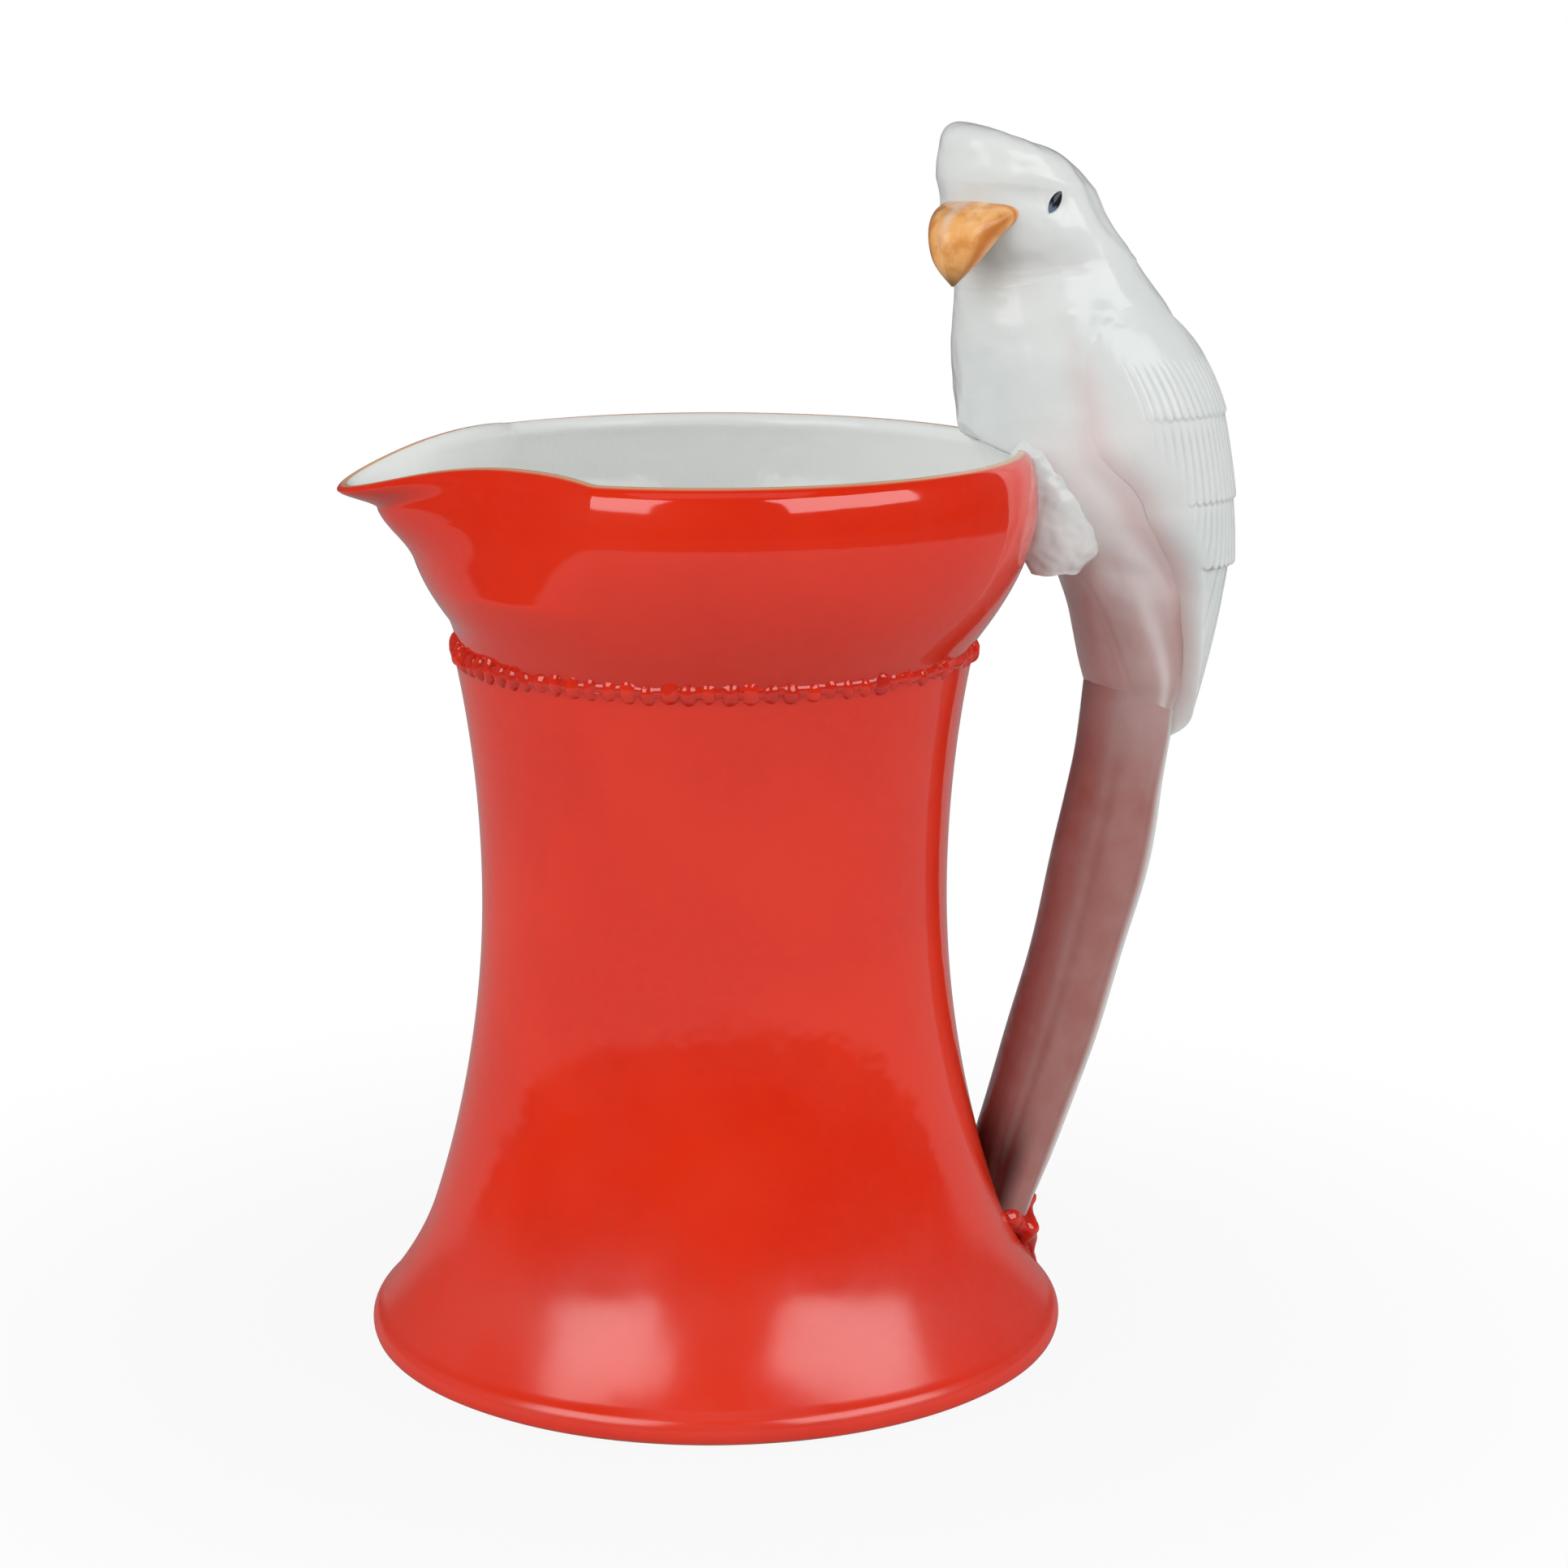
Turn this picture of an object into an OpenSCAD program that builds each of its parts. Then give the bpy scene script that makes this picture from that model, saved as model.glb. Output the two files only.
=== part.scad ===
// Porcelain creamer: a flared red column carries a round bowl with a pulled spout,
// and a white parakeet perched on the rim, whose long tail is the handle.
// The jug's axis is Z, the spout points to -X and the handle to +X.

/* [Column] */
// Radius of the foot at its widest
foot_r = 34.3; // [31:0.1:40]
// Rounding of the foot's outer edge
foot_edge = 1.6; // [0.8:0.1:2.5]
// Height over which the foot flares out
flange_z = 13; // [9:0.5:18]
// Width of the ring that the jug stands on
foot_ring_w = 4; // [2:0.5:8]
// Hollow under the foot
foot_recess = 1.2; // [0.5:0.1:2]
// Thickness of the floor
floor_t = 3.2; // [2:0.1:5]
// Radius that the column alone would reach at the table
flare_r = 33; // [29:0.1:36]
// Radius at the waist
waist_r = 22.6; // [20:0.1:26]
// Height of the waist
waist_z = 46; // [36:1:54]
// Radius at the collar
collar_r = 25; // [23:0.1:28]
// Height of the collar
collar_z = 69.5; // [60:0.5:80]
// Thickness of the wall
wall = 2.6; // [1.8:0.1:3.5]
// Thickness of the red glaze
glaze_t = 0.4; // [0.3:0.1:0.8]

/* [Bowl] */
// Radius of the bowl where it leaves the collar
neck_r = 24.3; // [22.5:0.1:27]
// Radius of the bowl at its widest
bowl_r = 31.05; // [28:0.1:36]
// Depth of the widest place below the rim
widest_down = 5.1; // [3:0.1:8]
// Radius at the rim
rim_r = 30.45; // [27:0.1:35]
// Height of the bowl from the collar to the rim
bowl_h = 19.4; // [15:0.1:26]
// Thickness of the wall at the lip
lip_t = 1.7; // [1.2:0.1:2.5]

/* [Spout] */
// How far the spout stands out from the rim
spout_reach = 5.8; // [3:0.1:9]
// Half width of the spout, in degrees around the rim
spout_angle = 15; // [10:1:22]
// Height of the spout's underside
spout_h = 7.4; // [5:0.1:11]
// How far the tip droops
spout_droop = 2; // [0:0.1:4]
// Depth of the hollow pressed in at each side of the spout
pinch_depth = 2; // [0:0.1:4]
// Place of those hollows, in degrees from the spout
pinch_angle = 37; // [30:1:50]
// Rise of the lip at those hollows
pinch_lift = 0.6; // [0:0.1:1.5]

/* [Beads] */
// Number of beads round the collar
bead_count = 84; // [60:1:96]
// Half height of the beaded band
bead_r = 1.1; // [0.7:0.1:1.6]

/* [Bird body] */
// Height of the neck above the rim
neck_up = 16; // [13:0.5:20]
// Depth of the neck, from throat to nape
neck_d = 18; // [13:0.5:22]
// Width of the neck
neck_w = 15; // [11:0.5:19]
// Height of the breast above the rim
breast_up = 7; // [5:0.5:10]
// Depth of the breast, from front to back
breast_d = 23.6; // [18:0.5:28]
// Width of the breast
breast_w = 20; // [15:0.5:24]
// How far the breast hangs in over the mouth
breast_in = 6.1; // [4:0.1:9]
// Depth of the belly below the rim
belly_down = 5.5; // [3:0.5:8]
// How far the belly reaches in behind the bowl's widest place
belly_in = 4; // [2.5:0.1:5.5]
// Depth of the belly, from front to back
belly_d = 23.4; // [18:0.5:28]
// Width of the belly
belly_w = 20.4; // [15:0.5:24]
// Depth of the vent below the rim
vent_down = 15; // [12:0.5:18]
// How far the vent stands out from the bowl's widest place
vent_out = 4; // [2:0.1:7]
// Depth of the body at the vent
vent_d = 14.8; // [12:0.5:18]
// Width of the body at the vent
vent_w = 15; // [11:0.5:18]
// Depth of the rump, where the tail starts, below the rim
rump_down = 26.5; // [23:0.5:30]
// How far the middle of the rump stands out from the bowl's widest place
rump_out = 11.6; // [9:0.1:15]
// Depth of the rump, from front to back
rump_d = 9.4; // [8:0.1:13]
// Width of the rump
rump_w = 10.4; // [9.5:0.1:14]

/* [Head] */
// Length of the head
head_l = 15.8; // [13:0.1:19]
// Width of the head
head_w = 13; // [10:0.1:16]
// Height of the head's middle above the rim
head_up = 24.2; // [22:0.2:28]
// How far the head's middle leans in over the mouth
head_in = 1; // [-2:0.1:4]
// Height of the head from its middle to the crown
crown_h = 6.7; // [5:0.1:9]
// Turn of the head to the bird's left
head_turn = 44; // [0:1:70]
// Slope of the crown down to the nape
crown_slope = 12; // [0:1:18]
// Width of the beak where it leaves the face
beak_w = 8.8; // [6:0.1:10]
// Height of the beak where it leaves the face
beak_h = 8; // [6:0.1:10]
// How far the beak stands out from the face
beak_out = 3.6; // [2:0.1:6]
// How far the tip of the beak hangs below the middle of the head
beak_drop = 8.6; // [7:0.1:10]
// Diameter of an eye
eye_d = 2.6; // [1.8:0.1:4]

/* [Wings and legs] */
// Thickness of a folded wing
wing_t = 1.7; // [1:0.1:3]
// Depth of the wing tips below the rim
wing_tip_down = 30.5; // [29:0.5:34]
// Thickness of a feathered leg
leg_d = 5.6; // [4.5:0.1:7]
// Distance between the two legs
leg_gap = 18.4; // [16:0.2:20]
// Depth of a thigh's lower end below the rim
leg_down = 11.5; // [9:0.5:13]
// How far a thigh's lower end stands off the bowl
leg_out = 6.2; // [4:0.1:8]
// Height of the toes above the rim
toe_up = 1.1; // [0.5:0.1:2.5]

/* [Tail] */
// Depth of the tail, from front to back
tail_d = 8.8; // [6:0.1:9.2]
// Width of the tail
tail_w = 9; // [6:0.1:10]
// Height of the tail's lower end
tail_end_z = 9.5; // [8:0.5:14]
// How far the tail bows out above its lower end
tail_bow = 6; // [3:0.5:9]
// Radius of the slip that fixes the tail to the foot
slip_r = 3.8; // [3:0.1:4.5]

/* [Hidden] */

$fn = 64;
porcelain = "#dfe3e2";
red_glaze = "#dc3a20";
beak_ochre = "#dd9a52";
eye_black = "#15161c";

// Film of slip between two pieces that are pressed together
slip_film = 0.2;
// Bare ring of clay between the glaze and the table
bare_foot = 1;
// Sides of the turned shapes that are not exact
jug_sides = 72;
bird_sides = 24;
bowl_rows = 9;
column_rows = 24;

rim_z = collar_z + bowl_h;
widest_z = rim_z - widest_down;
floor_top = foot_recess + floor_t;
ring_in_r = foot_r - foot_edge - foot_ring_w;
edge_angle = 45;
edge_top_z = foot_edge * (1 + sin(edge_angle));
edge_top_r = foot_r - foot_edge * (1 - cos(edge_angle));

// Smooth step from 0 at low to 1 at high
function ramp(v, low, high) = let(t = min(1, max(0, (v - low) / (high - low)))) t * t * (3 - 2 * t);
// Bell curve of half width w
function bell(a, w) = exp(-(a / w) * (a / w));
function mix(a, b, t) = a + (b - a) * t;
// Power that keeps the sign, for softly squared sections
function soft(v, e) = sign(v) * pow(abs(v), e);

// Outside of the column
function flare(z) = z > waist_z
    ? waist_r + (collar_r - waist_r) * pow((z - waist_z) / (collar_z - waist_z), 2)
    : waist_r + (flare_r - waist_r) * pow((waist_z - z) / waist_z, 2);
function flange(z) = (edge_top_r - flare(edge_top_z))
    * pow(max(0, flange_z - z) / (flange_z - edge_top_z), 2);
function column_r(z) = flare(z) + flange(z);
function column_heights(low) = [for (i = [0:column_rows]) mix(low, collar_z, i / column_rows)];
function foot_arc(from, to, r) = [
    for (i = [0:6]) let(a = mix(from, to, i / 6))
        [foot_r - foot_edge + r * cos(a), foot_edge + r * sin(a)]
];
// Outline of the foot and column from the table up, thickened by t
function column_outline(from, t) = concat(
    foot_arc(from, edge_angle, foot_edge + t),
    [for (z = column_heights(edge_top_z)) if (z > edge_top_z) [column_r(z) + t, z]]
);

// Outside of the bowl, with its spout at -X; a is the angle from the spout
bowl_curve = 1.8;
function bowl_profile(z) = z < widest_z
    ? bowl_r - (bowl_r - neck_r) * pow((widest_z - z) / (widest_z - collar_z), bowl_curve)
    : bowl_r - (bowl_r - rim_r) * pow((z - widest_z) / (rim_z - widest_z), 2);
function from_spout(a) = a > 180 ? a - 360 : a < -180 ? a + 360 : a;
function pinch(a) = bell(a - pinch_angle, spout_angle) + bell(a + pinch_angle, spout_angle);
function spout_push(a, z) =
    spout_reach * bell(a, spout_angle) * ramp(z, rim_z - spout_h, rim_z - spout_h / 4)
    - pinch_depth * pinch(a) * ramp(z, collar_z + bowl_h / 4, rim_z);
function lip_z(a) = rim_z - spout_droop * bell(a, spout_angle) + pinch_lift * pinch(a);
function bowl_wall(h) = mix(wall, lip_t, h);
function bowl_point(angle, h, t) = let(
        a = from_spout(angle),
        z = mix(collar_z, rim_z, h),
        r = bowl_profile(z) + spout_push(a, z) + t
    ) [-r * cos(a), -r * sin(a), mix(collar_z, lip_z(a), h)];

// Faces of a closed ring of n loops with m points each
function ring_faces(n, m) = [
    for (i = [0:n - 1], j = [0:m - 1]) let(
        a = i * m + j,
        b = i * m + (j + 1) % m,
        c = (i + 1) % n * m + j,
        d = (i + 1) % n * m + (j + 1) % m
    ) each [[a, b, d], [a, d, c]]
];
// Faces of a row of n loops with m points each, without its ends
function skin_faces(n, m) = [
    for (i = [0:n - 2], j = [0:m - 1]) let(
        a = i * m + j,
        b = i * m + (j + 1) % m,
        c = a + m,
        d = b + m
    ) each [[a, b, d], [a, d, c]]
];
// A solid skinned over rings of points, closed flat at both ends
module loft(rings) {
    n = len(rings);
    m = len(rings[0]);
    start_end = [for (j = [m - 1:-1:0]) j];
    far_end = [for (j = [0:m - 1]) (n - 1) * m + j];
    polyhedron([for (r = rings) each r], concat(skin_faces(n, m), [start_end, far_end]));
}
// A closed band swept round the jug's axis
module jug_ring(loops) {
    polyhedron([for (l = loops) each l], ring_faces(len(loops), len(loops[0])));
}

// Smooth curve through a list of keys, t from 0 to the last key's number
function spline(keys, t) = let(
        last = len(keys) - 1,
        i = min(last - 1, floor(t)),
        u = t - i,
        p0 = keys[max(0, i - 1)],
        p1 = keys[i],
        p2 = keys[i + 1],
        p3 = keys[min(last, i + 2)]
    ) p1 + 0.5 * u * ((p2 - p0) + u * ((2 * p0 - 5 * p1 + 4 * p2 - p3) + u * (3 * (p1 - p2) + p3 - p0)));

// Sections of the bird as [front x, middle z, depth, width, lean]; a lean lifts the back
rump_x = bowl_r + rump_out;
rump_z = rim_z - rump_down;
tip_d = 6.4;
neck_angle = 8;
breast_angle = 5;
vent_angle = -12;
rump_angle = -20;
neck_key = [rim_r - breast_in, rim_z + neck_up, neck_d, neck_w, neck_angle];
breast_key = [rim_r - breast_in, rim_z + breast_up, breast_d, breast_w, breast_angle];
belly_key = [bowl_r - belly_in, rim_z - belly_down, belly_d, belly_w, 0];
vent_key = [bowl_r + vent_out, rim_z - vent_down, vent_d, vent_w, vent_angle];
rump_key = [rump_x - rump_d / 2, rump_z, rump_d, rump_w, rump_angle];
tip_key = [rump_x - tip_d / 2, rim_z - wing_tip_down, tip_d, rump_w, rump_angle];
body_keys = [neck_key, breast_key, belly_key, vent_key, rump_key];
wing_keys = concat(body_keys, [tip_key]);

// Point on a section, grown by g; angle 0 is the front and 90 the bird's left side
section_curve = 0.9;
function section_point(s, a, g) = let(
        half_d = s[2] / 2,
        mid_x = s[0] + half_d,
        along = -(half_d + g) * soft(cos(a), section_curve),
        across = -(s[3] / 2 + g) * soft(sin(a), section_curve)
    ) [mid_x + along * cos(s[4]), across, s[1] + along * sin(s[4])];
function section_ring(s) = [
    for (i = [0:bird_sides - 1]) section_point(s, 360 * i / bird_sides, 0)
];
body_rows = 12;
function body_ring(i) = section_ring(spline(body_keys, (len(body_keys) - 1) * i / body_rows));

// Head frame: forward, left and up from the middle of the head
head_mid = [rim_r - head_in, 0, rim_z + head_up];
head_forward = [-cos(head_turn), -sin(head_turn), 0];
head_left = [sin(head_turn), -cos(head_turn), 0];
function head_place(f, l, u) = head_mid + f * head_forward + l * head_left + [0, 0, u];
// Rings of the head as [height above the middle, size], from the cheeks to the crown
head_rings = [
    [-0.55, 1.06], [-0.15, 0.97], [0.3, 1.03], [0.66, 0.98], [0.88, 0.84], [0.98, 0.5]
];
function head_r(a, scale) = let(
        l = head_l / 2 * scale,
        w = head_w / 2 * scale
    ) l * w / sqrt(pow(w * cos(a - head_turn), 2) + pow(l * sin(a - head_turn), 2));
function head_ring(k) = [
    for (i = [0:bird_sides - 1]) let(
        a = 360 * i / bird_sides,
        r = head_r(a, k[1]),
        lift = r * cos(a - head_turn / 2) * tan(crown_slope)
    ) head_mid + [-r * cos(a), -r * sin(a), k[0] * crown_h + lift * max(0, k[0])]
];

// Tail: a curve from the rump down to the foot, as [x, z]
tail_foot_r = column_r(tail_end_z) + glaze_t;
tail_top = [rump_x, rump_z];
tail_foot = [tail_foot_r, tail_end_z];
tail_span = rump_z - tail_end_z;
tail_curve = [
    tail_top,
    tail_top + tail_span / 3 * [tan(rump_angle) / 4, -1],
    tail_foot + [tail_bow, tail_span / 3],
    tail_foot
];
function bezier(p, t) = pow(1 - t, 3) * p[0] + 3 * t * pow(1 - t, 2) * p[1]
    + 3 * t * t * (1 - t) * p[2] + t * t * t * p[3];
tail_rows = 10;
tail_end_angle = -25;
// The tail is a little fuller just below the wing tips, at this share of its length
tail_swell = 0.12;
swell_place = 0.28;
swell_share = 0.15;
function tail_ring(i) = let(
        t = i / tail_rows,
        p = bezier(tail_curve, t),
        depth = tail_d * (1 + tail_swell * bell(t - swell_place, swell_share)),
        lean = mix(rump_angle, tail_end_angle, t)
    ) section_ring([p[0] - depth / 2, p[1], depth, tail_w, lean]);

module column() {
    inside = [for (z = column_heights(floor_top)) [flare(z) - wall, z]];
    color(porcelain) rotate_extrude() polygon(concat(
        [[0, foot_recess], [ring_in_r, foot_recess], [ring_in_r, 0]],
        column_outline(-90, 0),
        [for (i = [len(inside) - 1:-1:0]) inside[i]],
        [[0, floor_top]]
    ));
}

// Lowest place of the glaze on the round edge of the foot
glaze_from = asin(bare_foot / foot_edge - 1);

module column_glaze() {
    under = column_outline(glaze_from, 0);
    over = column_outline(glaze_from, glaze_t);
    color(red_glaze) rotate_extrude() polygon(concat(
        over, [for (i = [len(under) - 1:-1:0]) under[i]]
    ));
}

// The column and its glaze as one full shape, for what is set against it
module column_envelope() {
    rotate_extrude($fn = 180) polygon(concat(
        [[0, 0]], column_outline(-90, glaze_t), [[0, collar_z]]
    ));
}

// How far the band stands out between the beads, and a bead above that, as shares of bead_r
band_share = 0.25;
bead_share = 0.55;

module beaded_band() {
    steps = 4 * bead_count;
    mid_z = collar_z - bead_r;
    color(red_glaze) jug_ring([
        for (i = [0:steps - 1]) let(
            a = 360 * i / steps,
            proud = bead_r * (band_share + bead_share * (1 - cos(bead_count * a)) / 2)
        ) [
            for (k = [-2:2]) let(
                z = mid_z + bead_r * sin(45 * k),
                r = column_r(z) + glaze_t + proud * cos(45 * k)
            ) [r * cos(a), r * sin(a), z]
        ]
    ]);
}

module bowl() {
    rows = [for (i = [0:bowl_rows]) i / bowl_rows];
    color(porcelain) jug_ring([
        for (i = [0:jug_sides - 1]) let(a = 360 * i / jug_sides) concat(
            [for (j = [bowl_rows:-1:0]) bowl_point(a, rows[j], 0)],
            [for (j = [0:bowl_rows]) bowl_point(a, rows[j], -bowl_wall(rows[j]))]
        )
    ]);
}

module bowl_glaze() {
    rows = [for (i = [0:bowl_rows]) i / bowl_rows];
    color(red_glaze) jug_ring([
        for (i = [0:jug_sides - 1]) let(a = 360 * i / jug_sides) concat(
            [for (j = [bowl_rows:-1:0]) bowl_point(a, rows[j], glaze_t)],
            [for (j = [0:bowl_rows]) bowl_point(a, rows[j], 0)]
        )
    ]);
}

// The bowl and its glaze as one full shape, for what is set against it
module bowl_envelope() {
    function turned(i) = -360 * i / jug_sides;
    sides = [
        for (j = [0:bowl_rows]) [
            for (i = [0:jug_sides - 1]) bowl_point(turned(i), j / bowl_rows, glaze_t)
        ]
    ];
    mouth = [
        for (i = [0:jug_sides - 1]) [-neck_r * cos(turned(i)), -neck_r * sin(turned(i)), rim_z]
    ];
    loft(concat(sides, [mouth]));
}

module body_form() {
    loft([for (i = [0:body_rows]) body_ring(i)]);
}

module bird_body() {
    color(porcelain) difference() {
        body_form();
        bowl_envelope();
    }
}

module bird_head() {
    color(porcelain) loft(concat(
        [for (i = [len(head_rings) - 1:-1:0]) head_ring(head_rings[i])],
        [body_ring(0)]
    ));
}

// Beak: sections as [forward of the face, up, share of the width and height, pitch]
face_f = head_l / 2 - beak_h / 5;
beak_rows = [
    [-beak_h / 4, -0.18 * beak_h, 1, 0],
    [0.35 * beak_out, -0.27 * beak_h, 0.95, 20],
    [0.85 * beak_out, -0.45 * beak_drop, 0.72, 48],
    [1.05 * beak_out, -0.75 * beak_drop, 0.41, 75],
    [beak_out, -beak_drop, 0.08, 90]
];
beak_sides = 12;
function beak_ring(k) = [
    for (i = [0:beak_sides - 1]) let(
        a = 360 * i / beak_sides,
        w = k[2] * beak_w / 2 * sin(a),
        h = k[2] * beak_h / 2 * cos(a)
    ) head_place(face_f + k[0] + h * sin(k[3]), -w, k[1] + h * cos(k[3]))
];

module beak() {
    color(beak_ochre) difference() {
        loft([for (k = beak_rows) beak_ring(k)]);
        bird_head();
    }
}

// Place of the eyes, as shares of the head's length and of its height below the middle
eye_ahead = 0.18;
eye_below = 0.12;

module eye(side) {
    eye_l = head_w / 2 - eye_d / 5;
    color(eye_black) difference() {
        translate(head_place(eye_ahead * head_l, side * eye_l, -eye_below * crown_h))
            sphere(d = eye_d);
        bird_head();
    }
}

// Edges of a folded wing, in degrees round the body, at the keys of wing_keys
wing_front = [[92], [84], [88], [100], [114], [116]];
wing_back = [[125], [171], [174], [172], [166], [142]];
wing_start = 0.35;
wing_rows = 12;
wing_cols = 8;
function wing_key(i) = mix(wing_start, len(wing_keys) - 1, i / wing_rows);
function wing_point(i, j, g) = let(
        t = wing_key(i),
        a = mix(spline(wing_front, t)[0], spline(wing_back, t)[0], j / wing_cols)
    ) section_point(spline(wing_keys, t), a, slip_film + g);
// Thin edges and a full middle
function wing_swell(i, j) = let(
        round_in = min(1, 0.35 + i / 3, 0.35 + (wing_rows - i) / 4),
        round_over = 0.45 + 0.55 * sqrt(sin(180 * j / wing_cols))
    ) wing_t * round_in * round_over;
wing_outer = [
    for (i = [0:wing_rows]) [for (j = [0:wing_cols]) wing_point(i, j, wing_swell(i, j))]
];
wing_inner = [
    for (i = [0:wing_rows]) [for (j = [wing_cols:-1:0]) wing_point(i, j, 0)]
];
// Faces that close the first and last row of the wing
function wing_end(first, flip) = let(m = 2 * (wing_cols + 1)) [
    for (j = [0:wing_cols - 1]) let(
        a = first + j,
        b = first + j + 1,
        c = first + m - 2 - j,
        d = first + m - 1 - j
    ) each flip ? [[a, d, c], [a, c, b]] : [[a, b, c], [a, c, d]]
];

module wing() {
    m = 2 * (wing_cols + 1);
    color(porcelain) polyhedron(
        [for (i = [0:wing_rows]) each concat(wing_outer[i], wing_inner[i])],
        concat(skin_faces(wing_rows + 1, m), wing_end(0, true), wing_end(wing_rows * m, false))
    );
}

// Leg: a feathered thigh that leans on the bowl, with its toes on the rim, as [x, z]
function leg_middle(t) = let(
        z = mix(rim_z - leg_down, rim_z + toe_up, t),
        bowl_x = sqrt(pow(bowl_profile(min(z, rim_z)), 2) - pow(leg_gap / 2, 2))
    ) [bowl_x + mix(leg_out, 0, t), z];
leg_low = leg_middle(0);
leg_high = leg_middle(1);
// Share of the leg's thickness along it
leg_swell = [0.1, 0.7, 0.95, 1, 0.95, 0.85, 0.7, 0.3];
leg_angle = atan2(leg_high[1] - leg_low[1], leg_high[0] - leg_low[0]);
leg_sides = 12;
function leg_ring(i) = let(
        mid = leg_middle(i / (len(leg_swell) - 1)),
        r = leg_d / 2 * leg_swell[i]
    ) [
        for (j = [0:leg_sides - 1]) let(a = 360 * j / leg_sides) [
            mid[0] - r * cos(a) * sin(leg_angle),
            -leg_gap / 2 - r * sin(a),
            mid[1] + r * cos(a) * cos(leg_angle)
        ]
    ];

module leg() {
    color(porcelain) difference() {
        loft([for (i = [0:len(leg_swell) - 1]) leg_ring(i)]);
        bowl_envelope();
        body_form();
    }
}

module tail_form() {
    loft([for (i = [0:tail_rows]) tail_ring(i)]);
}

module tail() {
    color(porcelain) difference() {
        tail_form();
        column_envelope();
    }
}

// Slip pressed round the end of the tail: a lumpy cushion, squeezed out at its sides
slip_rows = 6;
slip_lumps = 5;
slip_lump_share = 0.12;
function slip_ring(i) = let(
        t = mix(8, 172, i / slip_rows),
        z = tail_end_z - slip_r / 4 - slip_r * cos(t)
    ) [
        for (j = [0:bird_sides - 1]) let(
            a = 360 * j / bird_sides,
            r = slip_r * sin(t) * (1 + slip_lump_share * cos(slip_lumps * a))
        ) [tail_foot_r + slip_r / 4 + r * cos(a), -r * sin(a) * tail_w / 2 / slip_r, z]
    ];

module tail_joint() {
    color(red_glaze) difference() {
        loft([for (i = [0:slip_rows]) slip_ring(i)]);
        tail_form();
        column_envelope();
    }
}

column();
column_glaze();
beaded_band();
bowl();
bowl_glaze();
bird_body();
bird_head();
beak();
eye(1);  // left_eye
eye(-1);  // right_eye
wing();  // left_wing
mirror([0, 1, 0]) wing();  // right_wing
leg();  // left_leg
mirror([0, 1, 0]) leg();  // right_leg
tail();
tail_joint();
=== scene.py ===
# %% [markdown]
# # A creamer whose handle is a perched parakeet
#
# The jug is white porcelain under an orange-red glaze: a flared column carries a round bowl with a pulled
# spout. A white parakeet sits on the rim, and its long tail comes down to the foot as the handle. The
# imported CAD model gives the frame, and every piece below stands in for the CAD node of the same name, in
# the same place.

# %% Load the frame
import math

import bmesh
import bpy
import numpy as np
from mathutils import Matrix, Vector


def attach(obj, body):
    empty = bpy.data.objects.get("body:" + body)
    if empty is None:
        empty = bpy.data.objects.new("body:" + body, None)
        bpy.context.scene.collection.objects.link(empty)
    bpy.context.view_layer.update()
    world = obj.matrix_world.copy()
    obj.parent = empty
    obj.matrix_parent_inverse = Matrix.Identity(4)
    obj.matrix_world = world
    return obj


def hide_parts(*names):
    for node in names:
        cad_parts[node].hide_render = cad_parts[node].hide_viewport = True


MM = 0.001
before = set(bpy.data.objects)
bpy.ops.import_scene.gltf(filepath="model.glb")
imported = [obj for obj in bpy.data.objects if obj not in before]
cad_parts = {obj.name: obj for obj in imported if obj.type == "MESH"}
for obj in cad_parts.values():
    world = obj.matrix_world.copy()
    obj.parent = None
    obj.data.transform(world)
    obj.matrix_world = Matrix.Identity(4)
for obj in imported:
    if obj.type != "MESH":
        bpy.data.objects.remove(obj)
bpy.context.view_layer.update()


print("Nodes to dress:", sorted(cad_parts))

# %% [markdown]
# ## Camera
#
# The photograph was taken from a little above the rim with a long lens. A long lens keeps the foot and the
# rim from splaying apart, so the focal length matters as much as the angle. The camera stands on the
# spout's side of the jug, turned so that the bird's left side faces it.

# %% Camera
LENS = 82.0
SENSOR = 36.0
CAMERA_PLACE = (-71.5, -336.5, 131.1)
CAMERA_DOWN = 12.378
CAMERA_TURN = -13.14

camera_data = bpy.data.cameras.new("camera")
camera_data.lens = LENS
camera_data.sensor_width = SENSOR
camera_data.clip_start = 0.01
camera = bpy.data.objects.new("camera", camera_data)
camera.location = Vector(CAMERA_PLACE) * MM
camera.rotation_euler = (math.radians(90 - CAMERA_DOWN), 0, math.radians(CAMERA_TURN))
bpy.context.scene.collection.objects.link(camera)
bpy.context.scene.camera = camera
bpy.context.scene.view_settings.view_transform = "Standard"
print("Camera", round(camera.location.length, 3), "m from the jug's foot")

# %% [markdown]
# ## Tools for building meshes
#
# Nearly every surface here is a grid of points: rows along the piece and columns round it. The pieces could
# be sculpted by hand, but formulas keep every size open to change. Numpy works out all the points at once,
# in millimetres, and one helper turns the grid into a mesh in metres. Masks, such as where the glaze runs
# thin, are stored with the points, so the materials can follow the surface.

# %% Mesh tools
def ramp(value, low, high):
    """Smooth step from 0 at low to 1 at high, where low may be the larger of the two."""
    t = np.clip((np.asarray(value, float) - low) / (high - low), 0, 1)
    return t * t * (3 - 2 * t)


def bell(value, width):
    """Bell curve, 1 in the middle."""
    return np.exp(-((np.asarray(value, float) / width) ** 2))


def mix(a, b, t):
    return a + (b - a) * t


def unit(vectors):
    return vectors / np.linalg.norm(vectors, axis=-1, keepdims=True)


def together(*coordinates):
    """Points from coordinates that may each vary along the rows, the columns or both."""
    return np.stack(np.broadcast_arrays(*(np.asarray(c, float) for c in coordinates)), axis=-1)


def column_of(values):
    """A list of values as one column, so that they vary down the rows of a grid."""
    return np.asarray(values, float)[:, None]


print("Grid tools ready")

# %% From a grid to a piece
SHARP_EDGE = math.radians(55)
SAME_POINT = 0.002


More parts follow.
